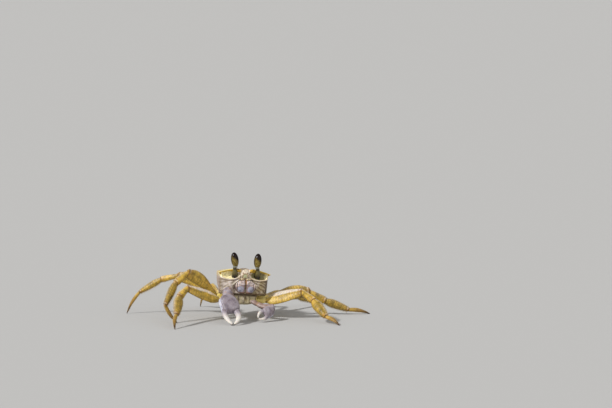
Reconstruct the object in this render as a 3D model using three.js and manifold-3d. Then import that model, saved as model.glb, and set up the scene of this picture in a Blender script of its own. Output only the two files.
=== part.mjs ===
// A ghost crab (Ocypode) at life size, as a still model that stands on the tips of its eight walking
// legs. Millimetres, +Z up. The crab faces -Y, so its own left side is at +X. Every plate of the
// shell and every limb segment is a solid of its own; they meet face to face with a thin gap.
import * as THREE from "three";
import { mergeVertices } from "three/addons/utils/BufferGeometryUtils.js";
import Module from "manifold-3d";

const wasm = await Module();
wasm.setup();
const { clamp, degToRad, smoothstep } = THREE.MathUtils;

// ---- Driving dimensions ----
const SHELL_WIDTH = 44; // across the teeth at the outer corners of the eye sockets
const SHELL_LENGTH = 37.8;
const HALF_GAP = 0.15; // half the clearance between two plates that meet
const GAP = 2 * HALF_GAP;
const BODY_PLACE = new THREE.Vector3(-1.7, 0, 20); // middle of the seam between back and breastplate
const BODY_ROLL = degToRad(4.8); // the left side hangs lower
const BODY_PITCH = degToRad(-4); // the nose is up

// ---- Colours of the plates ----
const finish = (color, roughness) => new THREE.MeshStandardMaterial({ color, roughness, metalness: 0 });
const BACK_SHELL = finish(0xcbb07a, 0.55);
const LEG_SHELL = finish(0xb8922e, 0.45);
const PALE_SHELL = finish(0xd9cdb4, 0.5);
const CLAW_SHELL = finish(0xc9c0c4, 0.45);
const STALK = finish(0x8a8455, 0.4);
const EYE = finish(0x3a2c1a, 0.12);

// ---- Small tools ----

// A smooth function through [position, value] keys, level at its peaks and past both ends.
function through(keys) {
  const slope = (i) => {
    const [a, b] = [keys[Math.max(i - 1, 0)], keys[Math.min(i + 1, keys.length - 1)]];
    const turns = i > 0 && i < keys.length - 1 && (keys[i][1] - a[1]) * (b[1] - keys[i][1]) <= 0;
    return turns ? 0 : (b[1] - a[1]) / (b[0] - a[0]);
  };
  return (x) => {
    if (x <= keys[0][0]) return keys[0][1];
    if (x >= keys.at(-1)[0]) return keys.at(-1)[1];
    const i = keys.findIndex((key) => key[0] > x) - 1;
    const span = keys[i + 1][0] - keys[i][0];
    const s = (x - keys[i][0]) / span;
    const [h0, h1] = [1 - 3 * s * s + 2 * s ** 3, 3 * s * s - 2 * s ** 3];
    const [m0, m1] = [s - 2 * s * s + s ** 3, s ** 3 - s * s];
    return h0 * keys[i][1] + h1 * keys[i + 1][1] + span * (m0 * slope(i) + m1 * slope(i + 1));
  };
}

// A cylinder of rings that is reshaped: place(t, u) puts the point at t along it and u round it,
// both 0 to 1, and the middle of each end goes to the mean of its ring.
function reshaped(sides, steps, place) {
  const geometry = new THREE.CylinderGeometry(1, 1, 1, sides, steps);
  const ends = [0, 1].map((t) => {
    const mean = new THREE.Vector3();
    for (let j = 0; j < sides; j++) mean.addScaledVector(place(t, j / sides), 1 / sides);
    return mean;
  });
  const position = geometry.attributes.position;
  const p = new THREE.Vector3();
  for (let i = 0; i < position.count; i++) {
    p.fromBufferAttribute(position, i);
    const t = Math.round((0.5 - p.y) * steps) / steps;
    const j = Math.round((Math.atan2(p.x, p.z) / (2 * Math.PI)) * sides + sides) % sides;
    p.copy(Math.hypot(p.x, p.z) < 0.5 ? ends[Math.round(t)] : place(t, j / sides));
    position.setXYZ(i, p.x, p.y, p.z);
  }
  return geometry;
}

// The closed solid of a geometry, turned to face outwards.
function solid(geometry) {
  const bare = geometry.clone();
  bare.deleteAttribute("normal");
  bare.deleteAttribute("uv");
  const merged = mergeVertices(bare, 1e-4);
  const triVerts = new Uint32Array(merged.index.array);
  const build = () =>
    new wasm.Manifold(
      new wasm.Mesh({ numProp: 3, vertProperties: merged.attributes.position.array, triVerts }),
    );
  const made = build();
  if (made.volume() > 0) return made;
  for (let i = 0; i < triVerts.length; i += 3) {
    [triVerts[i + 1], triVerts[i + 2]] = [triVerts[i + 2], triVerts[i + 1]];
  }
  return build();
}

function geometryOf(made) {
  const mesh = made.getMesh();
  return new THREE.BufferGeometry()
    .setAttribute("position", new THREE.BufferAttribute(new Float32Array(mesh.vertProperties), 3))
    .setIndex(new THREE.BufferAttribute(new Uint32Array(mesh.triVerts), 1));
}

const crab = new THREE.Group();
const body = new THREE.Group();
body.position.copy(BODY_PLACE);
body.rotation.set(BODY_PITCH, BODY_ROLL, 0, "YXZ");
crab.add(body);
body.updateMatrixWorld(true);

function node(parent, name, made, material) {
  const geometry = geometryOf(made);
  geometry.computeVertexNormals();
  const mesh = new THREE.Mesh(geometry, material);
  mesh.name = name;
  parent.add(mesh);
  return mesh;
}

const inCrab = (x, y, z) => new THREE.Vector3(x, y, z).applyMatrix4(body.matrixWorld);

// An ellipsoid at c with the half-axes r, turned by tilt about Y.
function ellipsoid(c, r, tilt = 0, across = 16, down = 10) {
  const ball = new THREE.SphereGeometry(1, across, down).rotateX(Math.PI / 2);
  ball.scale(...r);
  return solid(ball.rotateY(tilt).translate(...c));
}

// A tapering rod along a curve, round in section: radius(t) at t along the curve.
function rod(curve, radius, sides, steps, flat = 1) {
  const frames = curve.computeFrenetFrames(steps);
  return solid(
    reshaped(sides, steps, (t, u) => {
      const i = Math.round(t * steps);
      const a = 2 * Math.PI * u;
      return curve
        .getPointAt(t)
        .addScaledVector(frames.normals[i], radius(t) * Math.cos(a))
        .addScaledVector(frames.binormals[i], radius(t) * flat * Math.sin(a));
    }),
  );
}

// ---- Back shell: a deep box with straight sides, a low crown and a steep front face ----
const FRONT = -18.6; // the face
const REAR = FRONT + SHELL_LENGTH;
const ROW_WALL = 5; // points up a side wall
const ROW_BACK = 9; // points over the back
const shellWall = through([
  [FRONT, 17.6], [-18.2, 18.8], [-17.2, 19.7], [-15, 20.5], [-12, 20.9], [-6, 20.9],
  [1, 19.6], [7, 18.2], [12, 16.2], [16, 13.5], [REAR, 9],
]);
const shellEdge = (y) => shellWall(y) + 0.5 * Math.sin(Math.PI * smoothstep(y, FRONT, REAR));
const edgeHeight = through([
  [FRONT, 16.8], [-15, 17.3], [-5, 17.3], [5, 16.6], [12, 15.2], [17, 13], [REAR, 11.4],
]);
const crownHeight = through([
  [FRONT, 20.2], [-16, 20.8], [-8, 20.5], [0, 20.2],
  [8, 19.4], [14, 17.8], [17.5, 15.8], [REAR, 13],
]);
const bellyHeight = through([[FRONT, 1], [-17, 0], [11, 0], [16, 2], [REAR, 5]]);
const flankTuck = through([[FRONT, 0.03], [-12, 0.05], [-5, 0.2], [REAR, 0.3]]); // share of the width

function shellPoint(y, j, grow = 0) {
  const half = (ROW_WALL * 2 + ROW_BACK - 1) / 2;
  const side = j <= half ? 1 : -1;
  const i = j <= half ? j : 2 * half - j;
  const [low, edge, top] = [bellyHeight(y), edgeHeight(y), crownHeight(y)];
  let x;
  let z;
  if (i < ROW_WALL) {
    const s = i / ROW_WALL;
    x = shellWall(y) * (1 - flankTuck(y) * (1 - s) ** 3) + (shellEdge(y) - shellWall(y)) * s ** 6;
    z = low + (edge - low) * s - grow;
  } else {
    const q = ((i - ROW_WALL) / (half - ROW_WALL)) * (Math.PI / 2);
    x = shellEdge(y) * Math.cos(q);
    z = edge + (top - edge) * Math.sin(q);
  }
  return new THREE.Vector3(side * (x + grow * Math.sign(x)), y, z);
}

const SHELL_STEPS = 16;
const SHELL_SIDES = ROW_WALL * 2 + ROW_BACK;
let backShell = solid(
  reshaped(SHELL_SIDES, SHELL_STEPS, (t, u) => {
    const y = (FRONT + REAR) / 2 - ((REAR - FRONT) / 2) * Math.cos(Math.PI * t);
    return shellPoint(y, Math.round(u * SHELL_SIDES));
  }),
);

// The brow: a narrow lobe between the eyes that bends down over the face.
const curveThrough = (points) =>
  new THREE.CatmullRomCurve3(points.map((p) => new THREE.Vector3(...p)));
const browLine = curveThrough([[0, -13, 20.4], [0, -17.6, 20.5], [0, -19.8, 18.2], [0, -20.2, 14.2]]);
const BROW_HALF = through([[0, 4.6], [0.4, 3.7], [0.75, 3.1], [1, 1.9]]);
backShell = backShell.add(rod(browLine, BROW_HALF, 12, 7, 0.36));

// Each side has a tooth at the outer corner, an open socket below the margin, and a notch in the
// margin over it, where the eyestalk folds down.
const TOOTH = { root: [17.4, -12.4, 16.4], tip: [SHELL_WIDTH / 2, -17.6, 17.9], thick: 2.7 };
const SOCKET = { at: [12.9, -19.8, 16.3], half: [7.7, 5.2, 3.4] };
const NOTCH = { at: [12.8, -21.8, 21.8], half: [8.8, 5.3, 3.6] };
for (const side of [-1, 1]) {
  const mirrored = ([x, y, z]) => new THREE.Vector3(side * x, y, z);
  const toothLine = new THREE.LineCurve3(mirrored(TOOTH.root), mirrored(TOOTH.tip));
  const tooth = rod(toothLine, (t) => TOOTH.thick * (1 - 0.86 * t), 8, 2, 0.7);
  backShell = backShell.subtract(ellipsoid(mirrored(NOTCH.at), NOTCH.half, 0, 14, 8)).add(tooth);
  backShell = backShell.subtract(ellipsoid(mirrored(SOCKET.at), SOCKET.half, side * 0.06, 16, 10));
}

// ---- Mouth plates: a pair of tall shields in a recess of the face ----
// They are limbs, and here they are held a little to the crab's left.
const MOUTH = { inner: GAP / 2 + 0.05, low: 1.3, high: 12.2, y: -18.9, thick: 1.5, shift: 1.1 };
const mouthOuter = through([[0, 5.6], [0.3, 8.2], [0.7, 8.4], [1, 5.4]]);
function mouthPlate(side, grow) {
  return solid(
    reshaped(14, 5, (t, u) => {
      const a = 2 * Math.PI * u;
      const half = (mouthOuter(t) - MOUTH.inner) / 2 + grow;
      const squash = (v) => Math.sign(v) * Math.abs(v) ** 0.6;
      return new THREE.Vector3(
        MOUTH.shift + side * (MOUTH.inner + half - grow + half * squash(Math.cos(a))),
        MOUTH.y + (MOUTH.thick + grow) * squash(Math.sin(a)) * (1 - 0.35 * (2 * t - 1) ** 2),
        MOUTH.low - grow + (MOUTH.high - MOUTH.low + 2 * grow) * t,
      );
    }),
  );
}
for (const side of [-1, 1]) backShell = backShell.subtract(mouthPlate(side, GAP));

// ---- Breastplate: the keel under the body that the limbs spring from ----
const BREAST = { front: -16, rear: 13, depth: 8.6 };
const breastHalf = through([[-16, 11.4], [-12, 12.8], [-4, 12.6], [4, 11.4], [13, 6]]);
const breastDepth = through([[-16, 7], [-11, BREAST.depth], [4, BREAST.depth], [13, 5]]);
function breastplate(grow) {
  return solid(
    reshaped(14, 7, (t, u) => {
      const y = BREAST.front - grow + (BREAST.rear - BREAST.front + 2 * grow) * t;
      const a = 2 * Math.PI * u;
      const squash = (v) => Math.sign(v) * Math.abs(v) ** 0.65;
      const depth = breastDepth(y) + grow;
      const z = squash(Math.sin(a)) * depth;
      const x = (breastHalf(y) + grow) * squash(Math.cos(a));
      return new THREE.Vector3(x, y, Math.min(z, -GAP + grow));
    }),
  );
}

// ---- Tail flap: folded under the body, from the rear of the back shell to between the legs ----
const flapLine = curveThrough([
  [0, 18.4, 4.6], [0, 16.4, -1.5], [0, 12.6, -6.2], [0, 6, -8.4], [0, -3, -8.3],
]);
const flapHalf = through([[0, 6.4], [0.25, 6.6], [0.6, 4], [0.85, 2.6], [1, 1.1]]);
const FLAP_HALF_THICK = 0.9;
function tailFlap(grow) {
  const STEPS = 8;
  return solid(
    reshaped(10, STEPS, (t, u) => {
      const a = 2 * Math.PI * u;
      const along = flapLine.getTangentAt(t);
      const out = new THREE.Vector3(0, along.z, -along.y);
      return flapLine
        .getPointAt(t)
        .addScaledVector(out, (FLAP_HALF_THICK + grow) * Math.sin(a))
        .addScaledVector(along, grow * Math.sign(t - 0.5))
        .add(new THREE.Vector3((flapHalf(t) + grow) * Math.cos(a), 0, 0));
    }),
  );
}

// ---- Eyes: a stalk from the inner end of each socket, and a tall cornea on it ----
// The crab holds both eyes nearly upright, so they lean unequally on the rolled body.
const EYE_AT = [9.8, -20.6, 28.9];
const EYE_HALF = [3.2, 3.0, 6.25];
const EYE_TILT = { r: degToRad(12), l: degToRad(1.5) }; // outwards
const STALK_LINE = {
  r: [[8.2, -16.4, 14.4], [8.6, -18.4, 18], [9.2, -19.8, 21.4], [9.5, -20.4, 24.6]],
  l: [[11.2, -16.4, 14.4], [11, -18.4, 18], [10.5, -19.8, 21.4], [9.8, -20.4, 24.6]],
};
const stalkRadius = through([[0, 2.1], [0.35, 1.85], [0.7, 1.6], [1, 1.5]]);

// ---- Feelers: short and thin, beside the brow ----
const FEELER_LINE = [[3.9, -19.2, 12.9], [5.2, -21, 13.6], [7.4, -22.4, 13.9]];

for (const side of [-1, 1]) {
  const hand = side > 0 ? "l" : "r";
  const mirrored = ([x, y, z]) => new THREE.Vector3(side * x, y, z);
  const line = (points) => new THREE.CatmullRomCurve3(points.map(mirrored));
  const eye = (grow) =>
    ellipsoid(mirrored(EYE_AT), EYE_HALF.map((r) => r + grow), side * EYE_TILT[hand], 12, 9);
  const [[x, y, z], ...rest] = STALK_LINE[hand];
  const stalk = (grow) =>
    rod(line([[x, y + grow / 2, z - grow], ...rest]), (t) => stalkRadius(t) + grow, 8, 4);
  backShell = backShell.subtract(stalk(GAP));
  node(body, `eyestalk_${hand}`, stalk(0).subtract(eye(GAP)), STALK);
  node(body, `eye_${hand}`, eye(0), EYE);
  const feeler = (grow) => rod(line(FEELER_LINE), (t) => 0.55 - 0.28 * t + grow, 6, 4);
  backShell = backShell.subtract(feeler(GAP));
  node(body, `feeler_${hand}`, feeler(0), PALE_SHELL);
  node(body, `mouthplate_${hand}`, mouthPlate(side, 0).subtract(feeler(GAP)), PALE_SHELL);
}
node(body, "back_shell", backShell, BACK_SHELL);
node(body, "breastplate", breastplate(0).subtract(tailFlap(GAP)), PALE_SHELL);
const wideBreast = breastplate(GAP);
const flap = tailFlap(0).subtract(backShell.translate(0, GAP, -GAP)).subtract(backShell);
node(body, "tail_flap", largest(flap), PALE_SHELL);

// ---- Limb segments ----
// A segment lies along its own +X from its joint; +Y is up in the plane that the limb bends in and
// +Z is across that plane. It is as high as up(t) above its axis and down(t) below it, and as
// thick as side(t) to each side, and its axis is arched upwards by arch at the middle.
function segment(length, form, from, to) {
  const [sides, steps] = form.mesh;
  const [first, last] = [-form.past[0], length + form.past[1]];
  const lift = form.arch ?? 0;
  const made = solid(
    reshaped(sides, steps, (s, u) => {
      const x = first + (last - first) * s;
      const t = x / length;
      const a = 2 * Math.PI * u;
      const [rise, run] = [Math.sin(a), Math.cos(a)];
      const height = rise > 0 ? form.up(t) : form.down(t);
      return new THREE.Vector3(
        x,
        form.size * height * rise + lift * Math.sin(Math.PI * clamp(t, 0, 1)),
        form.size * form.side(t) * run,
      );
    }),
  );
  return [from, to].filter(Boolean).reduce((left, plane) => trim(left, plane), made);
}

// Keeps the side of a plane that its normal points to.
const trim = (made, { normal, point }) => made.trimByPlane(normal.toArray(), normal.dot(point));

// The plane that two segments meet on, halfway between their directions, less half the gap.
function mitre(point, before, after, keepBefore) {
  const normal = before.clone().add(after).normalize();
  if (keepBefore) normal.negate();
  return { normal, point: point.clone().addScaledVector(normal, HALF_GAP) };
}

// A mesh whose own X and Y lie along the two directions given, cut by planes given in crab space.
function placedSegment(name, material, length, form, at, along, up, planes) {
  const across = new THREE.Vector3().crossVectors(along, up).normalize();
  const trueUp = new THREE.Vector3().crossVectors(across, along).normalize();
  const place = new THREE.Matrix4().makeBasis(along, trueUp, across).setPosition(at);
  const back = place.clone().invert();
  const local = planes.map(({ normal, point }) => ({
    normal: normal.clone().transformDirection(back),
    point: point.clone().applyMatrix4(back),
  }));
  const mesh = node(crab, name, segment(length, form, ...local), material);
  place.decompose(mesh.position, mesh.quaternion, mesh.scale);
  return mesh;
}

const FLOOR = { normal: new THREE.Vector3(0, 0, 1), point: new THREE.Vector3() };

// ---- Walking legs ----
const THIGH = {
  mesh: [8, 7],
  past: [3, 4],
  up: through([[0, 2], [0.18, 2.6], [0.36, 4], [0.55, 5.4], [0.75, 5.7], [0.9, 4.8], [1, 4.2]]),
  down: through([[0, 2.2], [0.2, 3.4], [0.5, 4.8], [0.74, 5], [0.92, 4.3], [1, 3.7]]),
  side: through([[0, 2], [0.3, 2.4], [0.7, 2.3], [1, 2.1]]),
};
// The first pair's thighs are broadest near the body.
const FIRST_THIGH = {
  ...THIGH,
  up: through([[0, 2.6], [0.12, 4.6], [0.3, 6.4], [0.6, 6.2], [0.85, 4.9], [1, 4]]),
  down: through([[0, 2.6], [0.12, 4.6], [0.3, 6.2], [0.6, 5.8], [0.85, 4.5], [1, 3.6]]),
};
const KNEE = {
  mesh: [8, 3],
  past: [3, 3],
  up: through([[0, 2.3], [0.5, 2.7], [0.85, 3], [1, 2.8]]),
  down: through([[0, 1.9], [0.5, 2.3], [0.85, 2.8], [1, 2.6]]),
  side: through([[0, 1.8], [0.6, 2.1], [1, 1.9]]),
};
const SHIN = {
  mesh: [8, 5],
  past: [3, 2],
  up: through([[0, 2.6], [0.3, 3.5], [0.7, 2.8], [1, 1.9]]),
  down: through([[0, 2.5], [0.3, 3.2], [0.7, 2.6], [1, 1.8]]),
  side: through([[0, 1.7], [0.4, 1.7], [1, 1.2]]),
};
const TOE = {
  mesh: [8, 5],
  past: [2, 0.6],
  up: through([[0, 1.7], [0.3, 1.7], [0.7, 1], [1, 0.42]]),
  down: through([[0, 1.6], [0.3, 1.5], [0.7, 0.9], [1, 0.4]]),
  side: through([[0, 1.1], [0.5, 0.9], [1, 0.4]]),
  arch: 1.1,
};
const HIP = {
  mesh: [8, 3],
  past: [3, 2],
  up: through([[0, 2.5], [0.5, 2.7], [1, 2.2]]),
  down: through([[0, 2.5], [0.5, 2.5], [1, 2.1]]),
  side: through([[0, 2.4], [0.5, 2.4], [1, 2]]),
};

// Lengths of thigh, knee, shin and toe, and how stout the hip and each of these is beside the forms.
const LEG_SIZES = {
  1: { lengths: [32, 15.5, 22, 17], stout: [0.95, 0.93, 1.0, 1.16, 0.95] },
  2: { lengths: [34.5, 15.5, 22, 19], stout: [1, 1, 1, 0.96, 0.96] },
  3: { lengths: [34, 15, 21.5, 21.5], stout: [0.92, 0.92, 0.82, 0.72, 0.76] },
  4: { lengths: [22, 10, 14.5, 14], stout: [0.72, 0.72, 0.72, 0.7, 0.72] },
};

// The pose. root is where the hip leaves the breastplate, in the body's frame, and hip is where the
// thigh starts. reach turns the leg forwards of straight out, lean tips its plane so that the
// lower leg swings forwards, and rise holds the slopes of thigh, knee and shin in that plane, in
// degrees. The toe's slope follows from the floor; tuck brings its tip in under the shin.
const POSE = {
  r1: {
    root: [-8.5, -8.6, -4.6], hip: [-21.4, -12, 16.8],
    reach: 35.4, lean: 39.6, rise: [27.6, -26.9, -47.4], arch: -0.3,
  },
  r2: {
    root: [-8.5, -2.2, -4.6], hip: [-21.8, -2, 18.6],
    reach: 27, lean: 11.6, rise: [38.5, -28, -52], arch: 2.6, tuck: true,
  },
  r3: {
    root: [-8.5, 4, -4.6], hip: [-22.4, 8.4, 18.4],
    reach: -26.5, lean: 4, rise: [25.5, -13.5, -31], arch: 3,
  },
  r4: {
    root: [-6, 9.6, -3.8], hip: [-15, 16, 18],
    reach: -82, lean: -4, rise: [6, -10, -36], arch: 1,
  },
  l1: {
    root: [8.5, -8.6, -4.6], hip: [19, -11.5, 14.8],
    reach: 38, lean: 42, rise: [19.5, -31, -42], arch: 0,
  },
  l2: {
    root: [8.5, -2.2, -4.6], hip: [23.4, -3, 16],
    reach: 2, lean: -8, rise: [6.5, -30, -22], arch: 2,
  },
  l3: {
    root: [8.5, 4, -4.6], hip: [19, 8.5, 15],
    reach: -40, lean: 0, rise: [-6, -3, -16], arch: 0.5,
  },
  l4: {
    root: [6, 9.6, -3.8], hip: [13.4, 16, 15.8],
    reach: -62, lean: 0, rise: [16, -18, -50], arch: 1,
  },
};

for (const [name, pose] of Object.entries(POSE)) {
  const { lengths, stout } = LEG_SIZES[name[1]];
  const side = name[0] === "r" ? -1 : 1;
  const [reach, lean] = [pose.reach, pose.lean].map(degToRad);
  const out = new THREE.Vector3(side * Math.cos(reach), -Math.sin(reach), 0);
  const ahead = new THREE.Vector3(-side * Math.sin(reach), -Math.cos(reach), 0);
  const up = new THREE.Vector3(0, 0, Math.cos(lean)).addScaledVector(ahead, -Math.sin(lean));

  // The toe is turned until its tip stands on the floor.
  const hip = new THREE.Vector3(...pose.hip);
  const slopes = pose.rise.map(degToRad);
  const ankle = slopes.reduce((z, slope, i) => z + lengths[i] * Math.sin(slope) * up.z, hip.z);
  const drop = Math.asin(Math.min(1, ankle / (lengths[3] * up.z)));
  slopes.push(pose.tuck ? drop - Math.PI : -drop);
  const turned = (slope) =>
    out.clone().multiplyScalar(Math.cos(slope)).addScaledVector(up, Math.sin(slope));

  const root = inCrab(...pose.root);
  const hipAlong = hip.clone().sub(root);
  const hipLength = hipAlong.length();
  hipAlong.normalize();
  const directions = [hipAlong, ...slopes.map(turned)];
  const uprights = [up, ...slopes.map((slope) => turned(slope + Math.PI / 2))];
  const thigh = name[1] === "1" ? FIRST_THIGH : THIGH;
  const forms = [HIP, { ...thigh, arch: pose.arch }, KNEE, SHIN, TOE];
  const sizes = [hipLength, ...lengths];
  let at = root;
  ["hip", "thigh", "knee", "shin", "toe"].forEach((part, i) => {
    const end = at.clone().addScaledVector(directions[i], sizes[i]);
    const planes = [];
    if (i > 0) planes.push(mitre(at, directions[i - 1], directions[i], false));
    planes.push(i < 4 ? mitre(end, directions[i], directions[i + 1], true) : FLOOR);
    const form = { ...forms[i], size: stout[i] };
    const mesh = placedSegment(
      `${part}_${name}`, LEG_SHELL, sizes[i], form, at, directions[i], uprights[i], planes,
    );
    if (part === "hip") cutFromBreast(mesh);
    at = end;
  });
}

function largest(made) {
  return made.decompose().sort((a, b) => b.volume() - a.volume())[0];
}

// A hip or an arm starts in the breastplate's flank, so the flank is cut away from it.
function cutFromBreast(mesh) {
  const toMesh = new THREE.Matrix4().compose(mesh.position, mesh.quaternion, mesh.scale).invert();
  toMesh.multiply(body.matrixWorld);
  const cutters = [wideBreast, backShell.translate(0, 0, -GAP)];
  let left = solid(mesh.geometry);
  for (const cutter of cutters) left = left.subtract(solid(geometryOf(cutter).applyMatrix4(toMesh)));
  mesh.geometry = geometryOf(largest(left));
  mesh.geometry.computeVertexNormals();
}

// ---- Claws ----
const armRadius = through([[0, 2.4], [0.3, 2.9], [0.7, 3.5], [1, 3.3]]);
const WRIST = {
  mesh: [10, 5],
  past: [2, 2],
  up: through([[0, 3.2], [0.45, 4.5], [1, 4.2]]),
  down: through([[0, 3.1], [0.45, 4], [1, 3.9]]),
  side: through([[0, 2.7], [0.45, 3.5], [1, 3]]),
};
const PALM = {
  mesh: [10, 6],
  past: [2, 0],
  size: 1,
  up: through([[0, 4.4], [0.2, 6], [0.6, 6.7], [0.9, 5.6], [1, 3.8]]),
  down: through([[0, 4.6], [0.2, 6.1], [0.6, 6.3], [0.9, 5], [1, 3.4]]),
  side: through([[0, 3.1], [0.4, 3.8], [0.8, 3.1], [1, 1.9]]),
};
const PALM_LENGTH = 13;
// Both fingers are drawn in the palm's frame: [along, height] from root to tip.
const FIXED_FINGER = { line: [[9.5, -3.4], [15, -4.1], [20, -2.6], [22.6, -0.75]], thick: [2.4, 0.5] };
const MOVING_FINGER = { line: [[11, 3.6], [15.5, 4.7], [20, 3.1], [22.4, 0.55]], thick: [2.3, 0.5] };

// root is in the body's frame, the other points are in the crab's. palmUp is the side of the hand
// that the moving finger is on.
const CLAWS = {
  r: {
    root: [-6.6, -13.4, -4.4], elbow: [-12.6, -21.8, 17], wrist: [-16.2, -23.4, 27],
    hand: [-17.4, -29, 21], point: [-16.9, -43.8, 7.8], palmUp: [1, 0.1, 0], armSize: 1, handSize: 1.3,
  },
  l: {
    root: [6.6, -13.4, -4.4], elbow: [14.5, -21.5, 11.2], wrist: [21.5, -26, 11.5],
    hand: [20.5, -29.5, 9.6], point: [6.5, -38, 3.6], palmUp: [0.2, 0.5, 0.84],
    armSize: 0.74, handSize: 0.74,
  },
};

function finger({ line, thick: [root, tip] }, grow) {
  const path = new THREE.CatmullRomCurve3(line.map(([x, y]) => new THREE.Vector3(x, y, 0)));
  return rod(path, (t) => root + (tip - root) * t ** 1.3 + grow, 8, 5, 0.8);
}

for (const [hand, claw] of Object.entries(CLAWS)) {
  const root = inCrab(...claw.root);
  const [elbow, wrist, palmAt, point] = [claw.elbow, claw.wrist, claw.hand, claw.point].map(
    (p) => new THREE.Vector3(...p),
  );
  const toward = (from, to) => to.clone().sub(from).normalize();
  const armAlong = toward(elbow, wrist);
  const wristAlong = toward(wrist, palmAt);
  const palmAlong = toward(palmAt, point);
  const palmUp = new THREE.Vector3(...claw.palmUp);

  const armEnd = wrist.clone().addScaledVector(armAlong, 2);
  const armLine = new THREE.CatmullRomCurve3([root, elbow, armEnd]);
  const arm = trim(
    rod(armLine, (t) => claw.armSize * armRadius(t), 8, 7),
    mitre(wrist, armAlong, wristAlong, true),
  );
  cutFromBreast(node(crab, `arm_${hand}`, arm, CLAW_SHELL));

  const wristForm = { ...WRIST, size: claw.armSize };
  const wristLength = wrist.distanceTo(palmAt);
  placedSegment(`wrist_${hand}`, CLAW_SHELL, wristLength, wristForm, wrist, wristAlong, palmUp, [
    mitre(wrist, armAlong, wristAlong, false),
    mitre(palmAt, wristAlong, palmAlong, true),
  ]);

  // The palm carries the fixed finger, and the moving finger fits it with a gap.
  const palm = placedSegment(
    `palm_${hand}`, CLAW_SHELL, PALM_LENGTH, PALM, palmAt, palmAlong, palmUp, [],
  );
  const toPalm = new THREE.Matrix4().compose(palm.position, palm.quaternion, palm.scale).invert();
  const { normal, point: on } = mitre(palmAt, wristAlong, palmAlong, false);
  const start = { normal: normal.transformDirection(toPalm), point: on.applyMatrix4(toPalm) };
  const room = finger(MOVING_FINGER, GAP / claw.handSize);
  const whole = solid(palm.geometry).add(finger(FIXED_FINGER, 0)).subtract(room);
  palm.geometry = geometryOf(largest(trim(whole.scale(claw.handSize), start)));
  const fingerSolid = finger(MOVING_FINGER, 0).scale(claw.handSize);
  const moving = node(crab, `finger_${hand}`, fingerSolid, CLAW_SHELL);
  moving.position.copy(palm.position);
  moving.quaternion.copy(palm.quaternion);
}

// The part's origin is on the floor, under the middle of its box.
crab.updateMatrixWorld(true);
const middle = new THREE.Box3().setFromObject(crab, true).getCenter(new THREE.Vector3());
crab.position.set(-middle.x, -middle.y, 0);

export default crab;
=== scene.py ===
# A ghost crab at life size, standing on the tips of its eight walking legs. Every plate and limb
# segment is built in millimetres round the joints of the frame, and then put in its place in metres.
import math
import random

import bmesh
import bpy
from mathutils import Matrix, Vector, noise


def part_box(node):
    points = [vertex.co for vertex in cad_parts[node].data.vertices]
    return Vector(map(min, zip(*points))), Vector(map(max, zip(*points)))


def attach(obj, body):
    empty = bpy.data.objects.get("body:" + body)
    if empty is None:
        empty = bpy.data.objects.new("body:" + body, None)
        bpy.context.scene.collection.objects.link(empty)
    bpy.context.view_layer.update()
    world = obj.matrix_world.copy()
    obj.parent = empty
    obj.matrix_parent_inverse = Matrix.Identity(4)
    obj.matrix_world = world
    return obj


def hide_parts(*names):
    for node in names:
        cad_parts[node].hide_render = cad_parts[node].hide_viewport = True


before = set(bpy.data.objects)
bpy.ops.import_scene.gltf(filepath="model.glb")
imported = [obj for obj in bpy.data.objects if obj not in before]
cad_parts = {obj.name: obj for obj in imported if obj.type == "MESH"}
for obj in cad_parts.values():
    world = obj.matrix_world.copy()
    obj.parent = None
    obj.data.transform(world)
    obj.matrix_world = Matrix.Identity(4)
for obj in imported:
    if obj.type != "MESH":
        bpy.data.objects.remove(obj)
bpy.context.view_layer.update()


# ---- Back shell ----
# One plate of chalky shell covers the back, the flanks and the face of the crab. It is cast by the
# skin under it at each moult: finely grained, yellow along the brow over the eyes, cream in the
# sockets and crossed by brown lines on the cheeks.
MM = 0.001
EYE_AT = Vector((9.8, -20.6, 28.9))  # the middle of the left eye, in the body's own frame
body_turn = Matrix.Rotation(math.radians(4.8), 4, "Y") @ Matrix.Rotation(math.radians(-4), 4, "X")
body_in_crab = Matrix.Translation((-1.7, 0, 20)) @ body_turn
eye_low, eye_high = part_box("eye_l")
to_middle = (eye_low + eye_high) / 2 - MM * (body_in_crab @ EYE_AT)
crab_frame = Matrix.Translation((to_middle.x, to_middle.y, 0)) @ Matrix.Scale(MM, 4)
body_frame = crab_frame @ body_in_crab

FRONT, REAR = -18.6, 19.2
TOOTH_TIP = Vector((22, -17.6, 17.9))
SOCKET_AT, SOCKET_HALF = Vector((12.9, -19.8, 16.3)), Vector((7.7, 5.1, 3.4))
NOTCH_AT, NOTCH_HALF = Vector((12.8, -21.8, 21.8)), Vector((8.8, 5.3, 3.6))


def through(*keys):
    """A smooth function through (position, value) keys, level at its peaks and past both ends."""

    def slope(i):
        (xa, ya), (xb, yb) = keys[max(i - 1, 0)], keys[min(i + 1, len(keys) - 1)]
        inside = 0 < i < len(keys) - 1
        turns = inside and (keys[i][1] - ya) * (yb - keys[i][1]) <= 0
        return 0.0 if turns else (yb - ya) / (xb - xa)

    def value(x):
        if x <= keys[0][0]:
            return keys[0][1]
        if x >= keys[-1][0]:
            return keys[-1][1]
        i = next(k for k in range(len(keys)) if keys[k][0] > x) - 1
        span = keys[i + 1][0] - keys[i][0]
        s = (x - keys[i][0]) / span
        rise = 3 * s * s - 2 * s**3
        bend = (s - 2 * s * s + s**3) * slope(i) + (s**3 - s * s) * slope(i + 1)
        return keys[i][1] * (1 - rise) + keys[i + 1][1] * rise + span * bend

    return value


def smooth(low, high, x):
    """0 below low, 1 above high, and an even S between them."""
    s = min(max((x - low) / (high - low), 0), 1)
    return s * s * (3 - 2 * s)


def fade(low, high, x):
    """1 below low, 0 above high, and an even S between them."""
    return 1 - smooth(low, high, x)


def hill(x, middle, width):
    """A rounded rise of height 1 over x = middle."""
    return math.exp(-(((x - middle) / width) ** 2))


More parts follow.
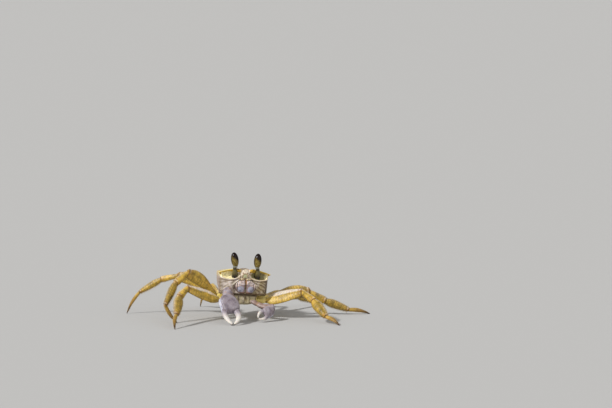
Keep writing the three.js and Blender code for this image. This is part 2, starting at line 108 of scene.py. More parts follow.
def ripple(x):
    """An even wave, 1 on its crests and 0 in its troughs."""
    return 0.5 + 0.5 * math.cos(x)


def squared(x, power):
    """x raised to the power with its sign kept: a power below 1 squares off a round section."""
    return math.copysign(abs(x) ** power, x)


def to_grain(p):
    """How far p is from the middle of its grain, where the grains are about 1 apart."""
    return noise.voronoi(p)[0][0]


def shaped(sides, steps, place):
    """A closed tube of rings: place(t, a) says where the point at t along it, at the angle a, goes."""
    bm = bmesh.new()
    bmesh.ops.create_cone(
        bm, cap_ends=True, cap_tris=True, segments=sides, radius1=1, radius2=1, depth=1
    )
    rails = [e for e in bm.edges if abs(e.verts[0].co.z - e.verts[1].co.z) > 0.5]
    bmesh.ops.subdivide_edges(bm, edges=rails, cuts=steps - 1, use_grid_fill=True)
    hubs = [v for v in bm.verts if v.co.xy.length < 0.5]
    for v in set(bm.verts) - set(hubs):
        v.co = place(v.co.z + 0.5, math.atan2(v.co.y, v.co.x))
    for hub in hubs:
        rim = [e.other_vert(hub).co for e in hub.link_edges]
        hub.co = sum(rim, Vector()) / len(rim)
    bmesh.ops.recalc_face_normals(bm, faces=bm.faces)
    return bm


def ball(at, half, tilt=0.0, rings=16):
    """An ellipsoid with the half-axes half, leaning by tilt towards +X."""
    bm = bmesh.new()
    bmesh.ops.create_uvsphere(bm, u_segments=2 * rings, v_segments=rings, radius=1)
    lean = Matrix.Rotation(tilt, 4, "Y")
    size = Matrix.Diagonal((*half, 1))
    bmesh.ops.transform(bm, matrix=Matrix.Translation(at) @ lean @ size, verts=bm.verts)
    return bm


def curve_point(points, t):
    """The point at t, 0 to 1, on a smooth curve through points."""
    spans = len(points) - 1
    i = min(int(t * spans), spans - 1)
    s = t * spans - i
    before, a = points[max(i - 1, 0)], points[i]
    b, after = points[i + 1], points[min(i + 2, spans)]
    turn = a * 2 + (b - before) * s
    turn += (before * 2 - a * 5 + b * 4 - after) * s**2
    return (turn + (a * 3 - before - b * 3 + after) * s**3) / 2


def curve_way(points, t):
    """The way that the curve runs at t."""
    near = 0.001
    return curve_point(points, min(t + near, 1)) - curve_point(points, max(t - near, 0))


def rod(points, radius, sides=16, steps=24, flat=1.0, wide=Vector((0, 0, 1)), edges=0.0):
    """A rod along the curve through points, radius(t) thick, flattened along wide by flat, with
    three blunt edges that stand out by the share edges."""
    line = [Vector(p) for p in points]

    def place(t, a):
        along = curve_way(line, t)
        side = along.cross(wide).normalized()
        up = side.cross(along).normalized()
        out = side * math.cos(a) + up * flat * math.sin(a)
        return curve_point(line, t) + out * radius(t) * (1 + edges * math.cos(3 * a))

    return shaped(sides, steps, place)


def as_object(name, bm):
    mesh = bpy.data.meshes.new(name)
    bm.to_mesh(mesh)
    bm.free()
    made = bpy.data.objects.new(name, mesh)
    bpy.context.scene.collection.objects.link(made)
    return made


def fused(solids, cutters=(), grain=0.3, ease=3):
    """One skin round all solids, less the cutters, on an even grid of the size grain."""
    base, *others = [as_object("solid", bm) for bm in solids]
    tools = [(o, "UNION") for o in others]
    tools += [(as_object("cutter", bm), "DIFFERENCE") for bm in cutters]
    for tool, operation in tools:
        change = base.modifiers.new(operation, "BOOLEAN")
        change.operation, change.solver, change.object = operation, "EXACT", tool
    grid = base.modifiers.new("grid", "REMESH")
    grid.mode, grid.voxel_size = "VOXEL", grain
    skin = bmesh.new()
    skin.from_object(base, bpy.context.evaluated_depsgraph_get())
    for made in [base, *(tool for tool, _ in tools)]:
        bpy.data.objects.remove(made)
    for _ in range(ease):
        bmesh.ops.smooth_vert(
            skin, verts=skin.verts, factor=0.5, use_axis_x=True, use_axis_y=True, use_axis_z=True
        )
    skin.normal_update()
    return skin


def relief(bm, height):
    """Raises each point along its normal by height(point, normal)."""
    bm.normal_update()
    rises = [height(v.co, v.normal) for v in bm.verts]
    for v, rise in zip(bm.verts, rises):
        v.co += v.normal * rise
    bm.normal_update()


def linear(code):
    """The linear colour of an sRGB hex code."""
    parts = [int(code[i : i + 2], 16) / 255 for i in (1, 3, 5)]
    return Vector([p / 12.92 if p <= 0.04045 else ((p + 0.055) / 1.055) ** 2.4 for p in parts])


def mixed(a, b, share):
    return a.lerp(b, min(max(share, 0), 1))


def coated(colour, *coats):
    """The colour under coats laid on one after the other, each a colour and the share it covers."""
    for coat, share in coats:
        colour = mixed(colour, coat, share)
    return colour


def paint(bm, colour):
    """Gives each point the colour that colour(point, normal) says, in the layer named tint."""
    tint = bm.verts.layers.float_color.new("tint")
    for v in bm.verts:
        v[tint] = (*colour(v.co, v.normal), 1)


def piece(name, bm, place, material, slot, *nodes):
    """Puts a finished mesh in its place as a piece of the crab that stands for the named nodes."""
    bmesh.ops.transform(bm, matrix=place, verts=bm.verts)
    bmesh.ops.recalc_face_normals(bm, faces=bm.faces)
    for face in bm.faces:
        face.smooth = True
    made = as_object(name, bm)
    made.data.materials.append(material)
    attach(made, "root")
    if nodes:
        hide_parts(*nodes)
    return made


def node(tree, kind, inputs=(), **settings):
    """Adds a node with its settings. An input is a value, or (node, output) to link it from."""
    made = tree.nodes.new(kind)
    for key, value in settings.items():
        setattr(made, key, value)
    for key, value in dict(inputs).items():
        if isinstance(value, tuple) and isinstance(value[0], bpy.types.Node):
            tree.links.new(value[0].outputs[value[1]], made.inputs[key])
        else:
            made.inputs[key].default_value = value
    return made


def bare_material(name):
    """A new material, and its node tree with nothing in it."""
    made = bpy.data.materials.new(name)
    made.use_nodes = True
    made.node_tree.nodes.clear()
    return made, made.node_tree


def shell_material(name, roughness, grain_mm, grain_depth_mm, translucency):
    """Chitin shell hardened with lime: its colour is the painted tint with faint mottling, and its
    grains are raised, with painted highlight on their tops and painted shade in the hollows between
    them. A little light passes under the surface, which softens the shade."""
    made, tree = bare_material(name)
    place = node(tree, "ShaderNodeTexCoord")
    tint = node(tree, "ShaderNodeAttribute", attribute_name="tint")
    mottle_mm = 2.2
    mottle = node(tree, "ShaderNodeTexNoise", {
        "Vector": (place, "Object"), "Scale": 1 / (mottle_mm * MM), "Detail": 5.0, "Roughness": 0.65,
    })
    mottled = {"Value": (mottle, "Fac"), "From Min": 0.3, "From Max": 0.7}
    light = node(tree, "ShaderNodeMapRange", {**mottled, "To Min": 0.86, "To Max": 1.12})
    grains = node(tree, "ShaderNodeTexVoronoi", {
        "Vector": (place, "Object"), "Scale": 1 / (grain_mm * MM), "Randomness": 0.9,
    })
    dome = node(tree, "ShaderNodeMapRange", {
        "Value": (grains, "Distance"), "From Min": 0.1, "From Max": 0.7, "To Min": 1.0, "To Max": 0.0,
    })
    # Painted highlight and shade: the tint is a little lighter on the top of each grain and darker in the
    # hollows between grains.
    grain_highlight_and_shade = node(tree, "ShaderNodeMapRange", {"Value": (dome, "Result"), "To Min": 0.93, "To Max": 1.03})
    shade = node(tree, "ShaderNodeMath", {0: (light, "Result"), 1: (grain_highlight_and_shade, "Result")}, operation="MULTIPLY")
    colour = node(
        tree, "ShaderNodeVectorMath", {0: (tint, "Color"), "Scale": (shade, "Value")}, operation="SCALE"
    )
    bump = node(tree, "ShaderNodeBump", {
        "Height": (dome, "Result"), "Distance": grain_depth_mm * MM, "Strength": 0.8,
    })
    rough = node(
        tree, "ShaderNodeMapRange", {**mottled, "To Min": roughness - 0.07, "To Max": roughness + 0.09}
    )
    surface = node(tree, "ShaderNodeBsdfPrincipled", {
        "Base Color": (colour, "Vector"), "Roughness": (rough, "Result"), "Normal": (bump, "Normal"),
        "IOR": 1.5, "Subsurface Weight": translucency, "Subsurface Scale": 1.2 * MM,
        "Subsurface Radius": (1.0, 0.6, 0.3),
    })
    node(tree, "ShaderNodeOutputMaterial", {"Surface": (surface, "BSDF")})
    return made


shell_wall = through(
    (FRONT, 17.6), (-18.2, 18.8), (-17.2, 19.7), (-15, 20.5), (-12, 20.9), (-6, 20.9),
    (1, 19.6), (7, 18.2), (12, 16.2), (16, 13.5), (REAR, 9)
)
edge_height = through(
    (FRONT, 16.8), (-15, 17.3), (-5, 17.3), (5, 16.6), (12, 15.2), (17, 13), (REAR, 11.4)
)
crown_height = through(
    (FRONT, 20.2), (-16, 20.8), (-8, 20.5), (0, 20.2), (8, 19.4), (14, 17.8), (17.5, 15.8), (REAR, 13)
)
belly_height = through((FRONT, 1), (-17, 0), (11, 0), (16, 2), (REAR, 5))
flank_tuck = through((FRONT, 0.03), (-12, 0.05), (-5, 0.2), (REAR, 0.3))


# How much of the half section, from the belly up and over, is belly, wall and back.
BELLY_PART, WALL_PART, BACK_PART = 0.14, 0.34, 0.52


def shell_point(t, a):
    """The half section runs from the middle of the belly up the wall and over the back."""
    y = (FRONT + REAR) / 2 - (REAR - FRONT) / 2 * math.cos(math.pi * t)
    way = abs(a) / math.pi
    low, edge, top = belly_height(y), edge_height(y), crown_height(y)
    bulge = 0.5 * math.sin(math.pi * smooth(FRONT, REAR, y))
    if way < BELLY_PART:
        x, z = shell_wall(y) * (1 - flank_tuck(y)) * way / BELLY_PART, low
    elif way < 1 - BACK_PART:
        s = (way - BELLY_PART) / WALL_PART
        x = shell_wall(y) * (1 - flank_tuck(y) * (1 - s) ** 3) + bulge * s**6
        z = low + (edge - low) * s
    else:
        q = (way - (1 - BACK_PART)) / BACK_PART * math.pi / 2
        x, z = (shell_wall(y) + bulge) * math.cos(q), edge + (top - edge) * math.sin(q)
    return Vector((math.copysign(x, a), y, z))


def mirrored(point, side):
    return Vector((side * point[0], point[1], point[2]))


# The outline of the mouth plates, which the recess in the face follows. They are limbs, and here
# they are held a little to the crab's left.
MOUTH_LOW, MOUTH_HIGH, MOUTH_Y, MOUTH_HALF_DEPTH, MOUTH_SHIFT = 1.3, 12.2, -18.9, 1.5, 1.1
mouth_outer = through((0, 5.6), (0.3, 8.2), (0.7, 8.4), (1, 5.4))


def mouth_block(grow):
    """A block as wide as both mouth plates and grow more all round."""

    def place(t, a):
        x = (mouth_outer(t) + grow) * squared(math.cos(a), 0.6)
        y = MOUTH_Y + (MOUTH_HALF_DEPTH + grow) * squared(math.sin(a), 0.6)
        return Vector((MOUTH_SHIFT + x, y, MOUTH_LOW - grow + (MOUTH_HIGH - MOUTH_LOW + 2 * grow) * t))

    return shaped(40, 20, place)


brow = rod([(0, -13, 20.4), (0, -17.6, 20.6), (0, -19.8, 18.2), (0, -20.2, 14.2)],
           through((0, 4.6), (0.4, 3.7), (0.75, 3.1), (1, 1.9)), flat=0.36)
rim_thick = through((0, 0.72), (0.14, 1.32), (0.27, 1.05), (0.4, 0.68), (0.75, 0.56), (1, 0.3))
RIM_LINE = [(3.4, -19.3, 19.2), (5.4, -19.2, 20.3), (8, -18.4, 20.8), (11, -17.6, 20.6),
            (13.8, -17.4, 20.1), (16.6, -17.6, 19.4), (19.2, -17.7, 18.7), (21.7, -17.6, 18)]
additions, notches, openings = [brow], [], [mouth_block(0.3)]
for side in (-1, 1):
    root = mirrored((17.4, -12.4, 16.4), side)
    additions.append(rod([root, mirrored(TOOTH_TIP, side)], lambda t: 2.7 * (1 - 0.86 * t), flat=0.7))
    additions.append(rod([mirrored(p, side) for p in RIM_LINE], rim_thick, 12, 60))
    notches.append(ball(mirrored(NOTCH_AT, side), NOTCH_HALF, rings=24))
    openings.append(ball(mirrored(SOCKET_AT, side), SOCKET_HALF, 0.06 * side, rings=24))
shell = fused([shaped(120, 60, shell_point)], notches)
shell = fused([shell, *additions], openings)


def socket_edge(p):
    """How far p is outside the opening of the eye socket, seen from the front, in shares of its size."""
    across, up = (abs(p.x) - SOCKET_AT.x) / SOCKET_HALF.x, (p.z - SOCKET_AT.z) / SOCKET_HALF.z
    return math.hypot(across, up) - 1


def face_share(p):
    """1 on the face and 0 behind it."""
    return fade(-17.8, -16.2, p.y)


def lip_share(p):
    """1 on the raised lip under the eye socket, which runs up to its two corners."""
    return hill(socket_edge(p), 0.15, 0.09) * fade(16.2, 17.2, p.z) * fade(-16.6, -15.4, p.y)


def cheek_share(p):
    """1 on the cheeks, outside the mouth and below the sockets, and fading along the flanks."""
    outside_mouth = smooth(7.8, 9.4, abs(p.x - MOUTH_SHIFT)) if p.y < -14 else 1
    share = outside_mouth * smooth(0.3, 0.6, socket_edge(p)) * smooth(0.3, 1.2, p.z)
    return share * fade(14.5, 16, p.z) * (1 - 0.8 * smooth(-16.5, -9, p.y))


def cheek_lines(p):
    """Wavy lines that fan out from the brow over the cheek and run back along the flank, 1 between
    them and 0 on each."""
    fall = math.degrees(math.atan2(14 - p.z, abs(p.x) - 1)) / 9.5
    wave = 0.6 * noise.noise(p * 0.3) + 0.22 * noise.noise(p * 1.1)
    return ripple(2 * math.pi * (fall + wave)) ** 0.7


# The pale ridges that run outwards from the brow: down beside the mouth, and up along the socket.
RAYS = ((Vector((4.4, 12.6)), Vector((10.4, 7.6))), (Vector((3.4, 13.2)), Vector((6.4, 16.6))))


def ray_share(p, width):
    """1 on the pale ridges beside the brow, which are about twice width across."""
    share = 0
    for start, end in RAYS:
        away, ray = Vector((abs(p.x), p.z)) - start, end - start
        along, off = away.dot(ray) / ray.length_squared, away.cross(ray) / ray.length
        share = max(share, hill(off, 0, width) * smooth(-0.1, 0.1, along) * fade(0.85, 1.1, along))
    return share * face_share(p)


PATCH_AT, PATCH_SIZE = Vector((0, 15.6)), 2.0
brow_half = through((12.8, 1.8), (14, 2.6), (17, 3.3), (20, 4))


def patch_share(p):
    """How far p is from the middle of the pale patch of the brow, in shares of the patch."""
    return (Vector((p.x, p.z)) - PATCH_AT).length / PATCH_SIZE


def brow_margin(p):
    """1 on the raised edge of the brow."""
    edge = hill(abs(p.x), brow_half(p.z) - 0.2, 0.4)
    return edge * smooth(12.8, 13.6, p.z) * fade(-17.4, -16.4, p.y)


def back_grooves(p):
    """1 in the grooves of the back: an H in the middle, and one that runs out on each side of it."""
    size, width = abs(p.x), 1.3
    wander = 0.5 * noise.noise(p * 0.5)
    middle = hill(size + wander, 5 - 0.012 * (p.y + 1) ** 2, width)
    middle = middle * smooth(-11, -4, p.y) * fade(4, 12, p.y)
    cross = 0.6 * hill(p.y + wander, 1.4 + 0.09 * size * size, width) * fade(3, 5.5, size)
    branch = hill(p.y + wander, -5.5 - 0.42 * (size - 5), width) * smooth(4, 7, size)
    return max(middle, cross, 0.6 * branch * fade(10, 15, size))


def shell_relief(p, n):
    size = abs(p.x)
    up = smooth(0.2, 0.7, n.z)
    height = -0.42 * up * back_grooves(p)
    height += 0.25 * up * hill(size, 12, 5) * hill(p.y, 2, 8)
    # Beads along the edge of the back and along its rear, and grains that are coarser in front.
    edge = edge_height(p.y) + 0.8
    height += 0.3 * hill(p.z, edge, 0.4) * smooth(6, 12, size) * (0.7 + 0.3 * math.cos(p.y * 6))
    height += 0.3 * up * hill(p.y, 16.6 - 0.012 * size * size, 0.45)
    coarse = to_grain(p / 1.1)
    front = 0.55 + 0.45 * fade(-6, 4, p.y)
    smooth_face = 1 - 0.8 * face_share(p)
    height += 0.12 * front * max(up, 0.5) * smooth_face * fade(0.1, 0.5, coarse)
    # A rolled hem along the bottom of the flank.
    height += 0.3 * hill(p.z, belly_height(p.y) + 1.1, 0.5) * smooth(-15, -12, p.y) * (1 - up)
    # The face: full cheeks with faint lines, a lip under each socket and ridges by the mouth.
    height -= 0.16 * cheek_share(p) * (1 - cheek_lines(p))
    height += 0.5 * lip_share(p) * (1 + 0.25 * math.cos(size * 6.5))
    face = face_share(p)
    if face > 0:
        height += face * hill(size, 13, 4.2) * hill(p.z, 6.0, 4.6)
        height -= face * 0.35 * hill(socket_edge(p), 0.48, 0.1) * fade(15, 16, p.z)
        height += 0.45 * ray_share(p, 0.55)
        height += face * 0.35 * hill(p.z, 13.1, 0.4) * fade(4.5, 5.5, size) * smooth(2, 2.6, size)
        height -= face * 0.4 * fade(0.5, 1.1, patch_share(p))
        height += face * 0.2 * hill(patch_share(p), 1.3, 0.2) * smooth(12.8, 13.5, p.z)
        height += 0.35 * brow_margin(p)
    return height + 0.05 * noise.noise(p * 1.1)


relief(shell, shell_relief)

SAND, SAND_PALE, SAND_BROWN = linear("#C7B285"), linear("#DDD0AE"), linear("#8E7A52")
BROW_YELLOW, BROW_HIGHLIGHT_LEMON = linear("#D2A628"), linear("#F2E293")
SOCKET_CREAM, SOCKET_SHADOW_OLIVE = linear("#FFF1BC"), linear("#7A7042")
FACE_CREAM, FACE_OLIVE, FACE_LINE = linear("#E4D6CC"), linear("#A0906A"), linear("#5E4626")
GREY_STREAK_AND_SHADE, MOUTH_BROWN = linear("#5C5048"), linear("#472A18")
FLANK, LIP_CREAM = linear("#B3A197"), linear("#F2DFC6")
PINK_CREAM, PATCH_GREEN, STAR_WHITE = linear("#BC9A74"), linear("#B9B890"), linear("#EADFCC")


def shell_colour(p, n):
    """Sand on the back, greyer down the flanks, and on the face cheeks, brow, sockets and lips."""
    size, on_right = abs(p.x), p.x < 0
    patch = noise.noise(p * 0.22) + 0.5 * noise.noise(p * 0.6)
    fleck = smooth(0.12, 0.4, noise.noise(p * 0.9)) * smooth(-0.1, 0.3, noise.noise(p * 2.6))
    flank = fade(13.5, 16, p.z) * smooth(-17.5, -15, p.y)
    upright = smooth(0.05, 0.35, noise.noise(Vector((p.x * 0.3, p.y * 0.9, p.z * 0.12))))

    face = face_share(p)
    # The cheeks are olive that darkens towards the crab's left: partly their own tone and partly painted
    # shade on the side that turns away from the light. Their brown lines darken the same way.
    cheek = mixed(FACE_CREAM, FACE_OLIVE, 0.15 + 0.65 * smooth(0, 9, p.x) + 0.6 * patch)
    lines = cheek_share(p) * (1 - cheek_lines(p))
    brown_and_shade_beside_mouth = face * hill(abs(p.x - MOUTH_SHIFT), 9.7, 2.0) * hill(p.z, 6, 4)
    outer_edge_grey_and_shade = smooth(16.8, 18.4, size) * fade(12, 14, p.z) * fade(-15.5, -13, p.y)
    shade_under_lip = face * hill(socket_edge(p), 0.48, 0.12) * fade(15, 16, p.z)

    brow_top = fade(3.8, 4.8, size) * fade(-13.5, -11.5, p.y) * smooth(17.5, 19, p.z)
    brow_zone = max(brow_top, face * fade(4.2, 6, size) * smooth(12, 13.2, p.z))
    star = math.cos(10 * math.atan2(p.z - PATCH_AT.y, p.x))
    rays = brow_zone * smooth(1.1, 1.4, patch_share(p)) * fade(2.2, 3, patch_share(p)) * abs(star) ** 0.7
    streak = ripple(5.2 * p.x + 0.8 * noise.noise(p * 0.8))
    dash = hill(p.z, 17.9, 0.32) * hill(size, 1.9, 0.9) + 0.8 * hill(p.z, 15.2, 1.4) * hill(size, 4.2, 0.35)
    beside_ray = ray_share(p, 1.5) - ray_share(p, 0.55)

    inside = fade(0.0, 0.08, socket_edge(p)) if p.y < -13.5 and p.z < 20 else 0
    # Painted shadow in the eye sockets: olive where the stalk's shadow falls, wider on the crab's left, and
    # under the rim at the top of each socket.
    painted_stalk_shadow = fade(8, 10.5, size) if on_right else fade(16.5, 18.5, size)
    shade = max(painted_stalk_shadow, 0.7 * smooth(18.4, 19.4, p.z))
    socket_fleck = smooth(0.1, 0.3, noise.noise(p * 1.2 + Vector((0, 9, 0))))
    socket = mixed(SOCKET_CREAM, FACE_OLIVE, 0.5 * socket_fleck)
    socket = mixed(socket, SOCKET_SHADOW_OLIVE, (0.75 if on_right else 0.82) * shade)

    over = smooth(18.3, 18.9, p.z + 0.12 * max(size - 12, 0)) * smooth(3.4, 4.2, size)
    over *= fade(-17.0, -16.4, p.y)
    tooth = smooth(19.6, 20.2, size) * fade(-15.5, -14, p.y) * smooth(15.2, 16.2, p.z)
    # Painted highlight: the upward-facing top of the yellow rim is painted pale lemon.
    yellow = mixed(BROW_YELLOW, BROW_HIGHLIGHT_LEMON, smooth(-0.15, 0.5, n.z) * smooth(7, 10, size))
    spot = hill(size, 6, 2.4) * fade(0.3, 0.5, to_grain(p / 1.6))

    return coated(
        mixed(SAND, SAND_PALE, 0.4 + 0.7 * patch),
        (SAND_BROWN, 0.65 * fleck),
        (SAND_BROWN, 0.4 * back_grooves(p) * smooth(0.2, 0.7, n.z)),
        (FLANK, 0.9 * flank),
        (GREY_STREAK_AND_SHADE, 0.28 * flank * upright),
        (cheek, face),
        (FACE_LINE, lines * (0.55 + 0.4 * smooth(0, 10, p.x) + 0.5 * patch)),
        # Dark brown beside the mouth plates: partly their brown frame and partly painted shade between the
        # cheek, the plates and the right claw, so it is darkest on the crab's right.
        (MOUTH_BROWN, (0.95 if on_right else 0.5) * brown_and_shade_beside_mouth),
        # Grey at the outer edges of the face: a faint band on both sides, and on the crab's left a much
        # darker painted shade on the side away from the light.
        (GREY_STREAK_AND_SHADE, (0.8 if p.x > 0 else 0.45) * outer_edge_grey_and_shade),
        # Painted shade along the bottom of the shell, where it meets the breastplate.
        (FACE_LINE, 0.9 * fade(0.5, 2.0 + 0.05 * p.x, p.z)),
        # Painted shade in the groove under the lip of each socket.
        (FACE_LINE, 0.8 * shade_under_lip),
        (PINK_CREAM, brow_zone),
        (STAR_WHITE, rays) if star > 0 else (FACE_LINE, rays * 0.55),
        (STAR_WHITE, brow_zone * streak * smooth(17.8, 18.6, p.z)),
        (FACE_LINE, 0.75 * face * dash),
        (PATCH_GREEN, face * fade(0.7, 1.1, patch_share(p))),
        (FACE_LINE, 0.8 * beside_ray * (1 if on_right else 0.6)),
        (STAR_WHITE, 0.95 * max(ray_share(p, 0.55), brow_margin(p))),
        (socket, inside),
        (LIP_CREAM, 0.9 * lip_share(p)),
        (yellow, 0.95 * max(over, tooth)),
        (FACE_LINE, 0.9 * over * spot),
    )


paint(shell, shell_colour)

# Down on the cheeks and a fringe on the hem of the flanks, both of stiff bristles. The map OFBake
# lays the shell out flat: round the face and flanks from left to right, and up.
draw = random.Random(7)
BAKE_PATCH, BAKE_CELLS = 0.003, 8
BRISTLE_ROOT, BRISTLE_TIP = linear("#8B6D35"), linear("#E0CF9F")


def bristles_on(bm, where, count, longest, lean, unwrap):
    """Bristles rooted on a mesh where where(p) allows, as (root, way, length, place on the map)."""
    hosts = [v for v in bm.verts if where(v.co) > draw.random()]
    stems = []
    for v in draw.sample(hosts, min(count, len(hosts))):
        stray = Vector([draw.uniform(-0.3, 0.3) for _ in range(3)])
        way = (v.normal + lean + stray).normalized()
        stems.append((v.co - v.normal * 0.1, way, longest * draw.uniform(0.5, 1), unwrap(v.co)))
    return stems


def bristles(name, stems, thick, place, slot):
    """One mesh of thin bent spikes, each with a patch of its own on the map OFBake."""
    spike = bmesh.new()
    bmesh.ops.create_cone(spike, cap_ends=True, cap_tris=True, segments=3, radius1=1, radius2=0.2, depth=1)
    rails = [e for e in spike.edges if abs(e.verts[0].co.z - e.verts[1].co.z) > 0.5]
    bmesh.ops.subdivide_edges(spike, edges=rails, cuts=1)
    bmesh.ops.translate(spike, vec=(0, 0, 0.5), verts=spike.verts)
    shape = [v.co.copy() for v in spike.verts]
    one = as_object("spike", spike)
    row = one.modifiers.new("row", "ARRAY")
    row.count, row.use_relative_offset = len(stems), False
    bm = bmesh.new()
    bm.from_object(one, bpy.context.evaluated_depsgraph_get())
    bpy.data.objects.remove(one)
    tint = bm.verts.layers.float_color.new("tint")
    bake = bm.loops.layers.uv.new("OFBake")
    turns = []
    for root, way, length, _ in stems:
        side = way.cross(Vector((0, 0, 1))).normalized()
        turns.append((root, side * thick, side.cross(way) * thick, way * length))
    for i, v in enumerate(bm.verts):
        root, across, over, way = turns[i // len(shape)]
        point = shape[i % len(shape)]
        sag = Vector((0, 0, -0.22 * way.length * point.z**2))
        v.co = root + across * point.x + over * point.y + way * point.z + sag
        v[tint] = (*mixed(BRISTLE_ROOT, BRISTLE_TIP, point.z), 1)
    for face in bm.faces:
        for loop in face.loops:
            i = loop.vert.index
            point, spot = shape[i % len(shape)], stems[i // len(shape)][3]
            loop[bake].uv = (spot[0] + BAKE_PATCH * 0.5 * point.x, spot[1] + BAKE_PATCH * point.z)
    piece(name, bm, place, bristle_material, slot)


def shell_map(p):
    """The place of a point of the face or flank on the map: how far round the shell, and how high."""
    round_shell = min(abs(p.x), 20) + max(p.y + 17, 0)
    return 0.5 + math.copysign(round_shell, p.x) / 125, 0.82 + p.z / 125


def hem(p):
    """1 on the lower edge of the flanks."""
    along = smooth(13, 15, abs(p.x)) * smooth(-15, -13, p.y) * fade(12, 14, p.y)
    return along * hill(p.z, belly_height(p.y) + 0.6, 0.5)


def cheek_down(p):
    """How thick the down stands on the cheeks: most of it in the brown lines."""
    return face_share(p) * cheek_share(p) * (1.2 - cheek_lines(p)) * 0.6


# Bare horn, brown at the root of each bristle and pale at its tip, so that a row looks soft.
bristle_material, tree = bare_material("horny_bristle")
tint = node(tree, "ShaderNodeAttribute", attribute_name="tint")
surface = node(tree, "ShaderNodeBsdfPrincipled", {"Base Color": (tint, "Color"), "Roughness": 0.5})
node(tree, "ShaderNodeOutputMaterial", {"Surface": (surface, "BSDF")})
FINE_BRISTLE = 0.045  # the radius of a bristle at its root
down = bristles_on(shell, cheek_down, 700, 0.8, Vector((0, 0, -0.8)), shell_map)
fringe_of_hem = bristles_on(shell, hem, 500, 1.3, Vector((0, 0, -1)), shell_map)
bristles("shell_bristles", down + fringe_of_hem, FINE_BRISTLE, body_frame, "back_shell")
# Chalky shell: dull, with the coarsest grains on the crab.
back_material = shell_material("chalky_back_shell", 0.55, 0.55, 0.16, 0.06)
piece("shell", shell, body_frame, back_material, "back_shell", "back_shell")


# ---- Eyes ----
# Each eye is a tall dome of clear cuticle over dark pigment, which shines black where it turns to
# the sky and olive gold below. It sits on a short olive stalk that folds out of the socket, and a
# narrow band of the stalk climbs its back.
EYE_HALF = Vector((3.2, 3.0, 6.25))
EYE_TILT = {"r": math.radians(12), "l": math.radians(1.5)}  # outwards: the crab holds both upright
STALK_LINE = {"r": [(8.2, -16.4, 14.4), (8.6, -18.4, 18), (9.2, -19.8, 21.4), (9.5, -20.4, 24.6)],
              "l": [(11.2, -16.4, 14.4), (11, -18.4, 18), (10.5, -19.8, 21.4), (9.8, -20.4, 24.6)]}
stalk_radius = through((0, 2.5), (0.3, 2.2), (0.5, 1.8), (0.65, 1.5), (0.85, 1.45), (1, 1.7))

EYE_BLACK, EYE_OLIVE, EYE_GOLD = linear("#160805"), linear("#5C4C20"), linear("#968448")
STALK_OLIVE, STALK_DARK, STALK_PALE = linear("#6B6136"), linear("#241C10"), linear("#8B8F86")

# Clear wet cuticle: a small hard highlight over the dark pigment.
eye_material, tree = bare_material("wet_cornea")
tint = node(tree, "ShaderNodeAttribute", attribute_name="tint")
place = node(tree, "ShaderNodeTexCoord")
facet_mm = 0.16  # coarser than the real facets, which are too fine to show
facets = node(tree, "ShaderNodeTexVoronoi", {"Vector": (place, "Object"), "Scale": 1 / (facet_mm * MM)})
bump = node(tree, "ShaderNodeBump", {"Height": (facets, "Distance"), "Distance": 0.006 * MM, "Strength": 0.3})
surface = node(tree, "ShaderNodeBsdfPrincipled", {
    "Base Color": (tint, "Color"), "Roughness": 0.23, "IOR": 1.28, "Normal": (bump, "Normal"),
})
node(tree, "ShaderNodeOutputMaterial", {"Surface": (surface, "BSDF")})
# Tough skin: smoother and glossier than the shell, and a little more light passes into it.
stalk_material = shell_material("olive_stalk_skin", 0.4, 0.4, 0.05, 0.1)
BOTH_SIDES = ((-1, "r"), (1, "l"))


def stalk_colour(p, n):
    return coated(
        # Dark towards the foot of the stalk, deep in the socket: painted shade.
        mixed(STALK_DARK, STALK_OLIVE, smooth(14.5, 18.5, p.z)),
        (STALK_DARK, 0.95 * hill(p.z, 21.3, 0.9)),
        (STALK_PALE, 0.8 * smooth(22, 23, p.z)),
        (STALK_DARK, 0.5 * fade(0.12, 0.3, to_grain(p / 1.1))),
    )


for side, hand in ((-1, "r"), (1, "l")):
    at = mirrored(EYE_AT, side)
    tilt = side * EYE_TILT[hand]
    lean = Vector((math.sin(tilt), 0, math.cos(tilt)))
    eye = ball(at, EYE_HALF, tilt, rings=40)
    eye.normal_update()

    def eye_colour(p, n):
        height = (p.z - at.z) / EYE_HALF.z
        grain = noise.noise(p * 0.9) + 0.6 * noise.noise(p * 2.3)
        # The black reaches lower on the +x side of each eye, which faces away from the light: painted shade.
        dark_above = smooth(-0.15, 0.25, height + 0.25 * grain + 0.35 * n.x - 0.05)
        dark_edge = smooth(0.6, 0.95, abs(n.x) + 0.12 * grain)
        return coated(
            mixed(EYE_OLIVE, EYE_GOLD, 0.35 + 0.8 * grain),
            (EYE_BLACK, max(dark_above, 0.75 * dark_edge)),
            (STALK_PALE, 0.8 * fade(-0.97, -0.8, height)),
        )

    paint(eye, eye_colour)
    piece(f"eye_dome_{hand}", eye, body_frame, eye_material, "eye", f"eye_{hand}")

    ahead = Vector((0, 1, 0))
    stalk = rod([mirrored(p, side) for p in STALK_LINE[hand]], stalk_radius, 24, 24, wide=ahead)
    collar = ball(at - lean * 0.93 * EYE_HALF.z, (1.6, 1.6, 1.1), 0, 12)
    backs = [at + lean * EYE_HALF.z * s + Vector((0, EYE_HALF.y * math.sqrt(1 - s * s) - 0.25, 0))
             for s in (-0.94, -0.6, -0.2, 0.2, 0.6, 0.86)]
    band = rod(backs, through((0, 1.3), (0.5, 1.0), (1, 0.45)), 14, 24, 0.42, wide=ahead)
    stalk = fused([stalk, collar, band], grain=0.2)
    relief(stalk, lambda p, n: 0.06 * noise.noise(p * 1.3) - 0.12 * hill(p.z, 20.6, 0.35))
    paint(stalk, stalk_colour)
    piece(f"stalk_{hand}", stalk, body_frame, stalk_material, "eyestalk", f"eyestalk_{hand}")


